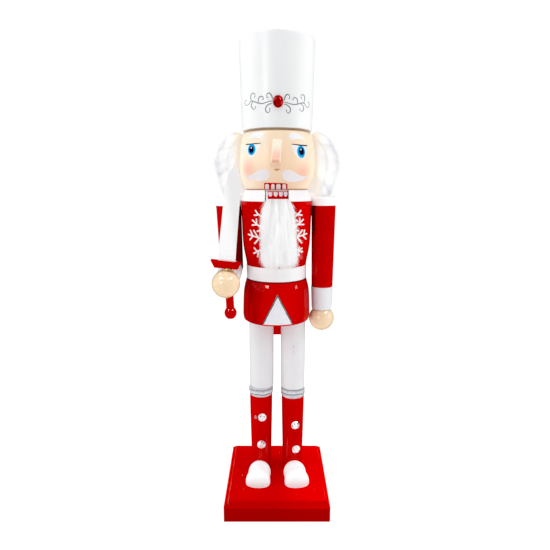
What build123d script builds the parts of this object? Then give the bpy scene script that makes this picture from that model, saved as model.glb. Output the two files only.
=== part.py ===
from build123d import *
import math
import os

# Nutcracker figure, about 380 mm tall, turned from wood and standing on a
# square block.  Millimetres, +Z up, -Y is the figure's front, +X is the
# figure's left hand.  The origin is the centre of the block's underside.

os.makedirs("parts", exist_ok=True)

# ---------------------------------------------------------------- dimensions
axis_y = 7.85            # the turned figure stands this far behind the block's centre

base_side = 87.0
base_height = 17.2
base_chamfer = 3.7

leg_x = {1: 14.3, -1: 14.0}     # how far each leg stands from the middle (left leg, right leg)
thigh_x = {1: 14.1, -1: 13.4}   # each thigh sits a little off its boot's centre
trunk_x = -0.4                  # skirt, belt and chest are glued on a little to the right
boot_r_bottom = 9.0
boot_r_top = 9.95
thigh_r = 10.4
band_r = 10.55
band_left = (87.8, 96.2)     # lower and upper edge of each knee band
band_right = (89.3, 97.6)

shoe_axis_z = base_height + 1.5
shoe_splay_left = 6.0    # degrees that each toe turns outwards
shoe_splay_right = 4.6
shoe_x = {1: 14.7, -1: 14.35}
shoe_heel = 12.9         # centre of the shoe's round heel, ahead of the leg's axis
shoe_heel_r = 9.85

stud_r = 3.7
# (leg side, angle round the boot from the front, height)
boot_stud_places = ((-1, 6.3, 70.5), (-1, 1.3, 44.1), (1, 12.0, 62.9), (1, 17.8, 39.1))

skirt_bottom = 159.2
belt_bottom = 195.0
torso_bottom = 206.4
torso_top = 258.7
collar_top = 267.4
head_top = 312.0
hat_bottom = 313.3
hat_top = 380.0

slot_x = (-9.4, 8.8)     # slot through the chest for the jaw lever
slot_floor = 218.0
lever_x = (-7.2, 8.3)    # the lever runs against the slot's left cheek
pivot_z = 240.0
pin_r = 2.0
pin_clearance = 0.06

arm_x_left = 38.5
arm_x_right = -38.1
arm_lean_right = 2.0     # degrees that the upper sleeve leans outwards above the elbow
cuff_bottom = 167.5
cuff_top = 187.0
shoulder = 254.9
epaulette_top = 262.0
hand_r = 10.65

elbow_z = 204.6
hand_forward = 44.0      # how far the sword hand is held in front of the shoulder
sword_hand_z = 198.2

dowel_r = 2.5
leg_dowel_r = 3.5

# ------------------------------------------------------------------- helpers
nodes = {}


def keep(name, shape, colour=None):
    nodes[name] = shape
    return shape


def turned(points, x=0.0, y=axis_y):
    """A turned piece: closed outline of (radius, height[, corner radius])."""
    outline = FilletPolyline(
        *[(p[0], p[1]) for p in points],
        radius=[p[2] if len(p) > 2 else 0 for p in points],
        close=True,
    )
    return Pos(x, y, 0) * revolve(Plane.XZ * make_face(outline), Axis.Z)


def turned_curve(lower, curve, upper, x=0.0, y=axis_y):
    """A turned piece whose side is a smooth curve between two polylines."""
    edges = Polyline(*lower, curve[0]) + Spline(*curve) + Polyline(curve[-1], *upper)
    edges += Line(upper[-1], lower[0])
    return Pos(x, y, 0) * revolve(Plane.XZ * make_face(edges), Axis.Z)


def rod(radius, start, end):
    """A round rod between two points."""
    a, b = Vector(*start), Vector(*end)
    plane = Plane(origin=a, z_dir=b - a)
    return plane * Pos(0, 0, (b - a).length / 2) * Cylinder(radius, (b - a).length)


def slab(x0, x1, y0, y1, z0, z1):
    return Pos((x0 + x1) / 2, (y0 + y1) / 2, (z0 + z1) / 2) * Box(x1 - x0, y1 - y0, z1 - z0)


def stone(radius_u, radius_v, steps, sides=8, turn=0.0):
    """A faceted stone along +Z: rings of (height, fraction of the radius)."""
    rings = []
    for height, fraction in steps:
        pts = [
            (
                radius_u * fraction * math.cos(math.radians(turn) + 2 * math.pi * i / sides),
                radius_v * fraction * math.sin(math.radians(turn) + 2 * math.pi * i / sides),
            )
            for i in range(sides)
        ]
        rings.append(Pos(0, 0, height) * make_face(Polyline(*pts, close=True)))
    return loft(rings, ruled=True)


# ---------------------------------------------------------------------- base
block = Pos(0, 0, base_height / 2) * Box(base_side, base_side, base_height)
block = chamfer(block.edges().filter_by_position(Axis.Z, base_height - 0.01, base_height + 0.01),
                base_chamfer)
ankle_dowels = [rod(leg_dowel_r, (s * leg_x[s], axis_y, 6.0), (s * leg_x[s], axis_y, 38.0)) for s in (-1, 1)]
for d in ankle_dowels:
    block -= d
keep("base", block)
keep("ankle_dowels", Compound(children=ankle_dowels))

# ---------------------------------------------------------------------- legs
knee_dowels, hip_dowels, studs = [], [], []
for side, name, band, splay in (
    (1, "left", band_left, shoe_splay_left),
    (-1, "right", band_right, shoe_splay_right),
):
    x = side * leg_x[side]
    xt = side * thigh_x[side]
    low, high = band
    knee = rod(leg_dowel_r, (x, axis_y, low - 15), (x, axis_y, high + 15))
    hip = rod(leg_dowel_r, (xt, axis_y, skirt_bottom - 20), (xt, axis_y, skirt_bottom + 18))
    knee_dowels.append(knee)
    hip_dowels.append(hip)

    boot = turned_curve(
        [(0, base_height)],
        [(boot_r_bottom, base_height), (9.12, 39.7), (9.61, 64.6), (9.9, 84.0), (boot_r_top, low)],
        [(0, low)], x)
    boot = boot - knee - rod(leg_dowel_r, (x, axis_y, base_height - 1), (x, axis_y, 38.0))
    keep("boot_" + name, boot)

    ring = turned([(0, low), (10.0, low, 0.5), (band_r, low + 2.4, 2.0), (band_r, high - 2.6, 2.0),
                   (10.1, high, 0.5), (0, high)], x)
    keep("knee_band_" + name, ring - knee)

    thigh = turned([(0, high), (thigh_r, high, 0.9), (thigh_r + 0.1, 137.0), (thigh_r + 0.1, skirt_bottom),
                    (0, skirt_bottom)], xt)
    keep("thigh_" + name, thigh - knee - hip)

    # half of a turned pear shape, glued to the block and to the boot's front
    pear = [(shoe_heel_r, shoe_heel), (9.6, 16.6), (9.95, 20.6), (10.55, 24.4), (10.15, 28.0), (8.1, 30.7),
            (4.5, 32.2), (0.0, 32.6)]
    side_curve = Spline(*[(r, -s) for r, s in pear], tangents=[(0, -1), (-1, 0)])
    c45 = math.sqrt(0.5)
    heel = ThreePointArc((0, -(shoe_heel - shoe_heel_r)), (shoe_heel_r * c45, -(shoe_heel - shoe_heel_r * c45)),
                         (shoe_heel_r, -shoe_heel))
    outline = heel + side_curve + Line((0, -32.6), (0, -(shoe_heel - shoe_heel_r)))
    shoe = revolve(make_face(outline), Axis.Y)
    shoe = Pos(side * shoe_x[side], axis_y, shoe_axis_z) * Rot(0, 0, side * splay) * shoe
    shoe -= slab(-60, 60, -60, 60, 0, base_height)
    shoe -= Pos(x, axis_y, 0) * revolve(
        Plane.XZ * make_face(Polyline((0, 10), (8.97, 10), (9.01, base_height), (9.1, 39.7), (9.15, 60), (0, 60), close=True)),
        Axis.Z)
    keep("shoe_" + name, shoe.solids().sort_by(SortBy.VOLUME)[-1])

for side, angle, z in boot_stud_places:
    here = boot_r_bottom + (z - base_height) / (band_left[0] - base_height) * (boot_r_top - boot_r_bottom)
    a = math.radians(angle)
    out = Vector(math.sin(a), -math.cos(a), 0)
    origin = Vector(side * leg_x[side], axis_y, z) + out * (here - 0.9)
    gem = stone(stud_r, stud_r, ((0, 0.94), (1.3, 1.0), (2.0, 0.98), (3.3, 0.52)), 10)
    gem = Plane(origin=origin, x_dir=Vector(math.cos(a), math.sin(a), 0), z_dir=out) * gem
    gem -= nodes["boot_left" if side > 0 else "boot_right"]
    gem -= rod(8.85, (side * leg_x[side], axis_y, z - 8), (side * leg_x[side], axis_y, z + 8))
    studs.append(gem.solids().sort_by(SortBy.VOLUME)[-1])
keep("boot_studs", Compound(children=studs))
keep("knee_dowels", Compound(children=knee_dowels))
keep("hip_dowels", Compound(children=hip_dowels))

# ------------------------------------------------------- skirt, belt, chest
waist_dowel = rod(5.0, (0, axis_y, belt_bottom - 18), (0, axis_y, torso_bottom + 7.5))
keep("waist_dowel", waist_dowel)

skirt = turned_curve(
    [(0, skirt_bottom), (26.9, skirt_bottom)],
    [(27.8, 159.8), (28.3, 162.2), (28.38, 168.0), (28.15, 175.0), (27.65, 183.7), (26.95, 188.0),
     (26.06, 191.5), (25.05, 194.6)],
    [(24.8, belt_bottom), (0, belt_bottom)], trunk_x)
skirt -= waist_dowel
for d in hip_dowels:
    skirt -= d
keep("coat_skirt", skirt)

belt = turned([(0, belt_bottom), (25.05, belt_bottom, 0.5), (25.15, torso_bottom, 0.5), (0, torso_bottom)], trunk_x)
keep("belt", belt - waist_dowel)

jaw_pin = rod(pin_r, (-24.0, axis_y, pivot_z), (27.6, axis_y, pivot_z))
neck_dowels = [rod(3.0, (s * 17.6, axis_y, 250.0), (s * 17.6, axis_y, 283.0)) for s in (-1, 1)]
shoulder_dowels = [rod(dowel_r, (22.0, axis_y, 249.0), (41.0, axis_y, 249.0)),
                   rod(dowel_r, (-22.0, axis_y, 249.0), (-41.4, axis_y, 249.0))]
slot = slab(slot_x[0], slot_x[1], -60, 80, slot_floor, collar_top + 0.0)

torso = turned_curve(
    [(0, torso_bottom)],
    [(24.9, torso_bottom), (25.2, 209.0), (26.1, 213.8), (27.25, 220.0), (27.95, 226.5), (28.45, 239.0), (28.85, 250.0),
     (28.98, 258.0)],
    [(28.4, torso_top), (0, torso_top)], trunk_x)
torso -= slot
for d in [waist_dowel, jaw_pin] + neck_dowels + shoulder_dowels:
    torso -= d
keep("torso", torso)
keep("jaw_pin", jaw_pin)

collar = turned([(0, torso_top), (29.1, torso_top, 0.4), (25.8, collar_top, 0.4), (0, collar_top)], trunk_x)
collar -= slot
for d in neck_dowels:
    collar -= d
keep("collar_left", collar & slab(0, 60, -60, 80, 250, 280))
keep("collar_right", collar & slab(-60, 0, -60, 80, 250, 280))
keep("neck_dowels", Compound(children=neck_dowels))

# --------------------------------------------------------------- head, hat
head_curve = [(25.1, 267.7), (26.1, 269.0), (27.9, 273.4), (29.6, 279.6), (30.2, 287.0), (29.95, 292.0),
              (29.2, 299.0), (27.97, 306.7), (27.0, 310.8), (26.3, 311.8)]
hat_dowel = rod(4.0, (0, axis_y, 298.0), (0, axis_y, 330.0))
head = turned_curve([(0, collar_top), (24.6, collar_top)], head_curve,
                    [(25.9, head_top), (24.5, head_top), (24.5, hat_bottom), (0, hat_bottom)])
for d in neck_dowels + [hat_dowel]:
    head -= d
keep("head", head)
keep("hat_dowel", hat_dowel)

nose_side = Polyline((-25.5, 303.9), (-28.1, 303.9), (-41.6, 288.4), (-41.4, 287.2), (-29.0, 284.0),
                     (-25.5, 284.0), close=True)
nose = extrude(Plane.YZ * make_face(nose_side), 3.6, both=True)
nose = fillet(nose.edges().filter_by(lambda e: e.center().Y < -28.5 and abs(e.center().X) > 3.5), 0.9)
nose = Pos(-0.45, axis_y, 294.5) * Rot(0, 4.9, 0) * Pos(0, 0, -294.5) * nose
nose -= head
keep("nose", nose.solids().sort_by(SortBy.VOLUME)[-1])

hat = turned([(0, hat_bottom), (27.86, hat_bottom, 0.8), (29.55, hat_top, 1.3), (0, hat_top)])
hat -= hat_dowel
keep("hat", hat)

gem = stone(3.8, 4.4, ((0, 0.96), (0.9, 1.0), (1.5, 0.97), (3.1, 0.55)), 12, 15.0)
gem = Plane(origin=(0.7, axis_y - 28.0, 331.0), x_dir=(1, 0, 0), z_dir=(0, -1, 0)) * gem
gem -= hat
keep("hat_gem", gem.solids().sort_by(SortBy.VOLUME)[-1])

# -------------------------------------------------------------- left arm
left_wrist = rod(dowel_r, (arm_x_left, axis_y, 157.0), (arm_x_left, axis_y, 197.0))
sleeve = turned([(0, cuff_top), (8.92, cuff_top, 0.3), (9.9, shoulder), (0, shoulder)], arm_x_left)
keep("sleeve_left", sleeve - left_wrist - shoulder_dowels[0])
cuff = turned([(0, cuff_bottom), (8.5, cuff_bottom, 0.5), (9.25, cuff_top, 0.5), (0, cuff_top)], arm_x_left)
keep("cuff_left", cuff - left_wrist)
ball = Pos(arm_x_left, axis_y, 159.0) * Sphere(hand_r)
ball -= slab(0, 80, -60, 80, cuff_bottom, 200)
keep("hand_left", ball - left_wrist)

# ------------------------------------------- right arm, bent at the elbow
elbow = Vector(arm_x_right, axis_y, elbow_z)
hand = Vector(-38.6, axis_y - hand_forward, sword_hand_z)
along = (hand - elbow).normalized()
reach = (hand - elbow).length
lean = Pos(elbow.X, elbow.Y, elbow.Z) * Rot(0, -arm_lean_right, 0) * Pos(-elbow.X, -elbow.Y, -elbow.Z)
mitre = Plane(origin=elbow, x_dir=(1, 0, 0), z_dir=Vector(0, 0, 1) - Vector(0, along.Y, along.Z))
above_mitre = mitre * Pos(0, 0, 60) * Box(120, 120, 120)
below_mitre = mitre * Pos(0, 0, -60) * Box(120, 120, 120)
fore = Plane(origin=elbow, x_dir=(1, 0, 0), z_dir=along)
elbow_dowel = rod(dowel_r, elbow - mitre.z_dir * 7.0, elbow + mitre.z_dir * 11.0)
right_wrist = rod(dowel_r, elbow + along * 9.5, elbow + along * (reach - 5.0))

upper = turned([(0, 185.0), (9.58, 185.0), (9.62, 207.0), (10.3, shoulder), (0, shoulder)], arm_x_right)
upper = (lean * upper) & above_mitre
keep("upper_sleeve_right", upper - elbow_dowel - shoulder_dowels[1])

forearm = fore * Pos(0, 0, -2.5) * Cylinder(9.58, 30.0)
forearm = forearm & below_mitre
forearm = forearm - (fore * Pos(0, 0, 12.5 + 30) * Box(80, 80, 60))
keep("forearm_sleeve_right", (forearm - elbow_dowel - right_wrist).solids().sort_by(SortBy.VOLUME)[-1])

cuff_len = reach - 8.3 - 12.5
cuff = fore * Pos(0, 0, 12.5 + cuff_len / 2) * Rot(180, 0, 0) * Cone(9.1, 9.75, cuff_len)
keep("cuff_right", cuff - right_wrist)

ball = Pos(hand.X, hand.Y, hand.Z) * Sphere(hand_r)
ball -= fore * Pos(0, 0, reach - 8.3 - 30) * Box(80, 80, 60)

# --------------------------------------------------------------- the sword
sword_y = hand.Y
grip_top = Vector(-37.0, sword_y, 210.2)
grip_end = Vector(-35.6, sword_y, 178.6)
grip = rod(3.05, grip_end, grip_top)
down = (grip_end - grip_top).normalized()
knob_plane = Plane(origin=grip_end, x_dir=(1, 0, 0), z_dir=down)
knob_outline = Polyline((0, -0.6), (3.3, -0.6)) + ThreePointArc((3.3, -0.6), (4.65, 3.4), (2.6, 7.2)) \
    + Line((2.6, 7.2), (0, 7.5)) + Line((0, 7.5), (0, -0.6))
knob = revolve(Plane.XZ * make_face(knob_outline), Axis.Z)
grip = grip + knob_plane * knob
keep("sword_grip", grip)
keep("hand_right", ball - right_wrist - rod(3.08, grip_end, grip_top + Vector(0, 0, 0) - down * 4))

guard_pts = [(-49.7, 216.9), (-26.8, 214.6), (-29.3, 209.2), (-46.8, 210.9)]
guard = extrude(Plane.XZ * make_face(Polyline(*guard_pts, close=True)), 2.6, both=True)
guard = Pos(0, sword_y, 0) * guard
guard = chamfer(guard.edges(), 0.4)

blade_left = [(-44.1, 216.2), (-41.9, 235.7), (-39.9, 251.8), (-38.6, 264.0), (-37.5, 271.8), (-35.8, 277.0),
              (-33.4, 281.6), (-30.3, 285.2)]
blade_right = [(-30.3, 285.2), (-28.4, 281.7), (-27.1, 277.5), (-26.3, 272.5), (-26.3, 266.9), (-27.2, 259.0),
               (-28.8, 242.3), (-30.0, 229.0), (-31.1, 215.1)]
blade_face = make_face(Spline(*blade_left) + Spline(*blade_right) + Line(blade_right[-1], blade_left[0]))
blade = Pos(0, sword_y, 0) * extrude(Plane.XZ * blade_face, 1.25, both=True)
blade = blade - guard
keep("sword_blade", blade.solids().sort_by(SortBy.VOLUME)[-1])
keep("sword_guard", guard - grip)

keep("elbow_dowel", elbow_dowel)
keep("wrist_dowels", Compound(children=[left_wrist, right_wrist]))
keep("shoulder_dowels", Compound(children=shoulder_dowels))

# -------------------------------------------------------------- epaulettes
chest_room = Pos(trunk_x, axis_y, 258) * Cylinder(29.2, 20)
for name, x in (("left", arm_x_left), ("right", arm_x_right)):
    disc = turned([(0, shoulder), (10.5, shoulder, 0.9), (10.45, epaulette_top, 1.8), (0, epaulette_top)], x)
    if name == "right":
        disc = lean * turned([(0, shoulder), (10.8, shoulder, 0.9), (10.75, epaulette_top, 1.8), (0, epaulette_top)], x)
    keep("epaulette_" + name, disc - chest_room)

# --------------------------------------------- jaw lever with the lower jaw
lever_outline = FilletPolyline(
    (-25.9, 266.6), (-28.0, 261.2), (-29.3, 260.8), (-29.3, 231.0), (30.3, 231.0), (30.3, 133.0),
    (37.3, 133.0), (37.3, 241.5), (12.0, 247.5), (-14.0, 249.0), (-14.0, 266.6),
    radius=[0.3, 0, 0, 2.0, 5.0, 1.5, 3.0, 6.0, 6.0, 3.0, 0.5],
    close=True,
)
lever = extrude(Plane.YZ * make_face(lever_outline), lever_x[1] - lever_x[0])
lever = Pos(lever_x[0], axis_y, 0) * lever
lever -= rod(pin_r + pin_clearance, (-40, axis_y, pivot_z), (40, axis_y, pivot_z))
keep("jaw_lever", lever)

# ------------------------------------------------------- fur: beard and hair
beard_outline = Spline((-8.6, 260.6), (-11.6, 253.0), (-12.8, 240.0), (-12.2, 224.0), (-8.0, 213.0), (0.5, 208.4),
                       (9.5, 213.0), (13.4, 224.0), (13.6, 240.0), (11.2, 253.0), (8.6, 260.6))
beard_face = make_face(beard_outline + Line((8.6, 260.6), (-8.6, 260.6)))
beard = extrude(Plane.XZ * beard_face, 5.5)
keep("beard", Pos(0, axis_y - 29.3, 0) * beard)

hair_inner = [(26.9, 267.9), (28.45, 273.4), (30.1, 279.6), (30.65, 287.0), (30.4, 292.0), (29.65, 299.0),
              (28.45, 306.7), (27.7, 310.4)]
hair_outer = [(43.6, 263.2), (44.4, 268.0), (46.2, 274.0), (48.8, 280.5), (50.1, 287.5), (49.6, 293.5),
              (47.3, 299.5), (42.6, 304.8), (35.5, 309.6), (28.6, 312.2)]
hair_edges = Spline(*hair_inner) + Line(hair_inner[-1], hair_outer[-1]) + Spline(*hair_outer) \
    + Polyline(hair_outer[0], (29.6, 263.2), hair_inner[0])
hair = revolve(Plane.XZ * make_face(hair_edges), Axis.Z, revolution_arc=182)
keep("hair", Pos(0, axis_y, 0) * Rot(0, 0, -1) * hair)

# -------------------------------------------------------------------- export
for name, shape in nodes.items():
    export_step(shape, f"parts/{name}.step")
print(len(nodes), "nodes written")
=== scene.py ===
import math
import random

import bmesh
import bpy
import numpy as np
from mathutils import Matrix, Vector
from mathutils.bvhtree import BVHTree
from mathutils.geometry import delaunay_2d_cdt


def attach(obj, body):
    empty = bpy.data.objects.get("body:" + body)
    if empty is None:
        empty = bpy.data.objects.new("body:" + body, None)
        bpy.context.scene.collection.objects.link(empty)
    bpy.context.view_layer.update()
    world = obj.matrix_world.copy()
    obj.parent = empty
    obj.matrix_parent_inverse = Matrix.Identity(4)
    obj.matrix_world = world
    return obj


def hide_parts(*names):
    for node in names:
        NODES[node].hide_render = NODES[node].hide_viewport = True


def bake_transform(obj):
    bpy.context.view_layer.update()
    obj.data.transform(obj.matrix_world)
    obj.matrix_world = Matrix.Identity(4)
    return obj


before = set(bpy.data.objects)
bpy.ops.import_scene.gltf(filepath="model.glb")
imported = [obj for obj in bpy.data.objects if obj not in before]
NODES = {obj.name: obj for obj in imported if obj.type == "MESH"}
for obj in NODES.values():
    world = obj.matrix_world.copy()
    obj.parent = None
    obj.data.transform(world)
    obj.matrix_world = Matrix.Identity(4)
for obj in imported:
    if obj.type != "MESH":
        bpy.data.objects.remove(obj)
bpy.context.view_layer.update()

MM = 0.001
AY = 7.85          # the turned figure's axis, mm behind the block's centre
TENT_FRONT, TENT_SIDE = 0.38, 0.87
FLAG_FRONT, FLAG_SIDE = 0.03, 0.105
scene = bpy.context.scene

# ------------------------------------------------------------------ camera
cam_data = bpy.data.cameras.new("camera")
cam_data.sensor_width = 36.0
cam_data.lens = 29.4545
cam_data.clip_start = 0.01
cam = bpy.data.objects.new("camera", cam_data)
cam.location = (-1.6 * MM, -367.75 * MM, 269.0 * MM)
cam.rotation_euler = (math.radians(90.0 - 10.942), 0.0, 0.0)
scene.collection.objects.link(cam)
scene.camera = cam

scene.view_settings.view_transform = "Standard"
scene.view_settings.look = "None"
scene.view_settings.use_curve_mapping = True
scene.view_settings.curve_mapping.black_level = (0.008, 0.008, 0.008)


# --------------------------------------------------------------- materials
class Mat:
    """A procedural material: object coordinates are the row frame, in metres."""

    def __init__(self, name):
        self.m = bpy.data.materials.new(name)
        self.m.use_nodes = True
        self.nt = self.m.node_tree
        self.b = self.nt.nodes["Principled BSDF"]
        self.tc = self.nt.nodes.new("ShaderNodeTexCoord")

    def node(self, kind, **sets):
        n = self.nt.nodes.new(kind)
        for k, v in sets.items():
            setattr(n, k, v)
        return n

    def link(self, a, b):
        self.nt.links.new(a, b)

    def coords(self, scale=(1, 1, 1), loc=(0, 0, 0), rot=(0, 0, 0)):
        mp = self.node("ShaderNodeMapping")
        mp.inputs["Scale"].default_value = scale
        mp.inputs["Location"].default_value = loc
        mp.inputs["Rotation"].default_value = rot
        self.link(self.tc.outputs["Object"], mp.inputs["Vector"])
        return mp.outputs["Vector"]

    def noise(self, scale, detail=3.0, rough=0.55, stretch=(1, 1, 1), loc=(0, 0, 0), distortion=0.0, rot=(0, 0, 0)):
        n = self.node("ShaderNodeTexNoise")
        n.inputs["Scale"].default_value = scale
        n.inputs["Detail"].default_value = detail
        n.inputs["Roughness"].default_value = rough
        n.inputs["Distortion"].default_value = distortion
        self.link(self.coords(stretch, loc, rot), n.inputs["Vector"])
        return n.outputs["Fac"]

    def ramp(self, fac, stops, interp="LINEAR"):
        r = self.node("ShaderNodeValToRGB")
        r.color_ramp.interpolation = interp
        els = r.color_ramp.elements
        while len(els) < len(stops):
            els.new(0.5)
        for e, (pos, col) in zip(els, stops):
            e.position = pos
            e.color = (*col, 1.0) if len(col) == 3 else col
        self.link(fac, r.inputs["Fac"])
        return r.outputs["Color"]

    def remap(self, val, a, b, c, d, smooth=False):
        n = self.node("ShaderNodeMapRange")
        n.interpolation_type = "SMOOTHSTEP" if smooth else "LINEAR"
        for i, v in zip(("From Min", "From Max", "To Min", "To Max"), (a, b, c, d)):
            n.inputs[i].default_value = v
        self.link(val, n.inputs["Value"])
        return n.outputs["Result"]

    def math(self, op, a, b=None, clamp=False):
        n = self.node("ShaderNodeMath", operation=op, use_clamp=clamp)
        for i, v in enumerate((a, b)):
            if v is None:
                continue
            if isinstance(v, (int, float)):
                n.inputs[i].default_value = v
            else:
                self.link(v, n.inputs[i])
        return n.outputs[0]

    def mix(self, fac, a, b, blend="MIX"):
        n = self.node("ShaderNodeMix", data_type="RGBA", blend_type=blend)
        for s, v in ((n.inputs[0], fac), (n.inputs[6], a), (n.inputs[7], b)):
            if isinstance(v, (int, float)):
                s.default_value = v
            elif isinstance(v, tuple):
                s.default_value = (*v, 1.0)
            else:
                self.link(v, s)
        return n.outputs[2]

    def axis(self, which):
        n = self.node("ShaderNodeSeparateXYZ")
        self.link(self.tc.outputs["Object"], n.inputs[0])
        return n.outputs[which]

    def near(self, centre, radius, stretch=(1, 1, 1)):
        """1 at a point, smoothly 0 at a radius from it (metres)."""
        mp = self.node("ShaderNodeVectorMath", operation="SUBTRACT")
        self.link(self.tc.outputs["Object"], mp.inputs[0])
        mp.inputs[1].default_value = centre
        sc = self.node("ShaderNodeVectorMath", operation="MULTIPLY")
        self.link(mp.outputs[0], sc.inputs[0])
        sc.inputs[1].default_value = stretch
        ln = self.node("ShaderNodeVectorMath", operation="LENGTH")
        self.link(sc.outputs[0], ln.inputs[0])
        return self.remap(ln.outputs["Value"], 0.0, radius, 1.0, 0.0, True)

    def bump(self, height, strength, dist, after=None):
        n = self.node("ShaderNodeBump")
        n.inputs["Strength"].default_value = strength
        n.inputs["Distance"].default_value = dist
        self.link(height, n.inputs["Height"])
        if after is not None:
            self.link(after, n.inputs["Normal"])
        return n.outputs["Normal"]

    def set(self, **vals):
        for k, v in vals.items():
            key = {"color": "Base Color", "rough": "Roughness", "metal": "Metallic", "coat": "Coat Weight",
                   "coat_rough": "Coat Roughness", "ior": "IOR", "spec": "Specular IOR Level", "sss": "Subsurface Weight",
                   "sss_scale": "Subsurface Scale", "sheen": "Sheen Weight", "sheen_rough": "Sheen Roughness",
                   "normal": "Normal", "trans": "Transmission Weight", "alpha": "Alpha",
                   "glow": "Emission Strength", "glow_color": "Emission Color"}[k]
            s = self.b.inputs[key]
            if isinstance(v, (int, float)):
                s.default_value = v
            elif isinstance(v, tuple):
                s.default_value = (*v, 1.0) if len(v) == 3 else v
            else:
                self.link(v, s)
        return self.m


def lacquer(name, dark, light, rough=(0.22, 0.36), coat=0.5, coat_rough=0.12, spec=0.4, grain="z", grain_depth=0.00002,
            peel=0.00001, extra=None, streaks=0.22, glow=None):
    """Paint over turned or sawn wood: brushed tone, grain showing through, slight orange peel."""
    w = Mat(name)
    along = {"z": (1, 1, 0.06), "y": (1, 0.06, 1), "x": (0.06, 1, 1)}[grain]
    rings = {"z": (0.02, 0.02, 1), "y": (0.5, 0.02, 0.5), "x": (0.02, 0.5, 0.5)}[grain]
    tone = w.noise(28.0, 4.0, 0.6)
    streak = w.noise(420.0, 3.0, 0.6, along, distortion=0.3)
    ring = w.noise(900.0, 2.0, 0.5, rings)
    col = w.ramp(tone, [(0.3, dark), (0.7, light)])
    col = w.mix(w.remap(streak, 0.35, 0.75, 0.0, streaks), col, tuple(c * 0.86 for c in dark))
    if extra is not None:
        col = extra(w, col)
    n1 = w.bump(streak, 0.55, grain_depth)
    n2 = w.bump(ring, 0.35, grain_depth * 0.5, n1)
    n3 = w.bump(w.noise(1100.0, 2.0, 0.5), 0.4, peel, n2)
    r = w.remap(w.noise(160.0, 4.0, 0.65), 0.3, 0.7, rough[0], rough[1])
    w.set(color=col, rough=r, coat=coat, coat_rough=coat_rough, spec=spec, normal=n3)
    # glow: a faint even glow, painted light that brightens the part
    if glow is not None:
        w.set(glow=glow, glow_color=(0.98, 1.0, 1.0))
    return w.m


RED_D, RED_L = (0.52, 0.0, 0.0), (0.61, 0.0, 0.0005)
red = lacquer("red_lacquer", RED_D, RED_L, rough=(0.3, 0.45), spec=0.0, coat=0.8, coat_rough=0.05)

red_boot = lacquer("red_lacquer_boot", (0.56, 0.0, 0.0), (0.65, 0.0, 0.0005), rough=(0.3, 0.45), spec=0.0, coat=0.35, coat_rough=0.08)


def chest_light_and_shade(w, col):
    """Painted light lightens the chest towards its left-arm side, and painted shade darkens it low down, just above the
    belt.
    """
    z = w.axis(2)
    col = w.mix(w.remap(w.axis(0), 0.010, 0.022, 0.0, 0.7, True), col, (0.72, 0.0, 0.0))
    return w.mix(w.remap(z, 0.206, 0.222, 0.35, 0.0, True), col, (0.30, 0.0, 0.001))


red_chest = lacquer("red_lacquer_chest", RED_D, RED_L, rough=(0.3, 0.45), spec=0.0, coat=0.35, coat_rough=0.06,
                    extra=chest_light_and_shade)


def sword_arm_inner_shade(w, col):
    """Painted shade on the sword arm's inner side, in the shadow of the blade and the chest."""
    x = w.axis(0)
    return w.mix(w.remap(x, -0.0375, -0.0325, 0.0, 0.72, True), col, (0.10, 0.0, 0.0))


def left_sleeve_inner_shade(w, col):
    """Painted shade on the left sleeve's inner side, where it rests against the chest."""
    x = w.axis(0)
    z = w.axis(2)
    k = w.math("MULTIPLY", w.remap(x, 0.0303, 0.0322, 0.85, 0.0, True), w.remap(z, 0.225, 0.238, 0.2, 1.0, True))
    return w.mix(k, col, (0.06, 0.0, 0.0))


red_sleeve_left = lacquer("red_lacquer_left_arm", RED_D, RED_L, rough=(0.3, 0.45), spec=0.0, coat=0.4, coat_rough=0.06,
                          extra=left_sleeve_inner_shade)
red_sleeve = lacquer("red_lacquer_sword_arm", RED_D, RED_L, rough=(0.3, 0.45), spec=0.0, coat=0.7, coat_rough=0.06,
                     extra=sword_arm_inner_shade)


def skirt_tone(w, col):
    """The skirt's right side is darker, in vertical runs; painted light lightens its middle, and painted shade darkens
    its top edge under the belt.
    """
    x = w.axis(0)
    side = w.remap(x, -0.024, -0.008, 1.0, 0.0, True)
    runs = w.remap(w.noise(210.0, 3.0, 0.6, (1, 1, 0.05)), 0.42, 0.66, 0.25, 1.0, True)
    # painted light: the middle of the skirt lighter
    mid = w.remap(w.math("ABSOLUTE", w.math("SUBTRACT", x, 0.003)), 0.006, 0.018, 0.7, 0.0, True)
    col = w.mix(mid, col, (0.72, 0.0, 0.0))
    col = w.mix(w.math("MULTIPLY", w.math("MULTIPLY", side, runs), 0.85), col, (0.22, 0.0, 0.0))
    # painted shade along the skirt's top edge, under the belt
    edge = w.remap(w.axis(2), 0.1935, 0.1953, 0.0, 0.8, True)
    return w.mix(edge, col, (0.12, 0.0, 0.0))


red_skirt = lacquer("red_lacquer_skirt", RED_D, RED_L, rough=(0.3, 0.45), spec=0.0, coat=0.5, coat_rough=0.04,
                    extra=skirt_tone)


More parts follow.
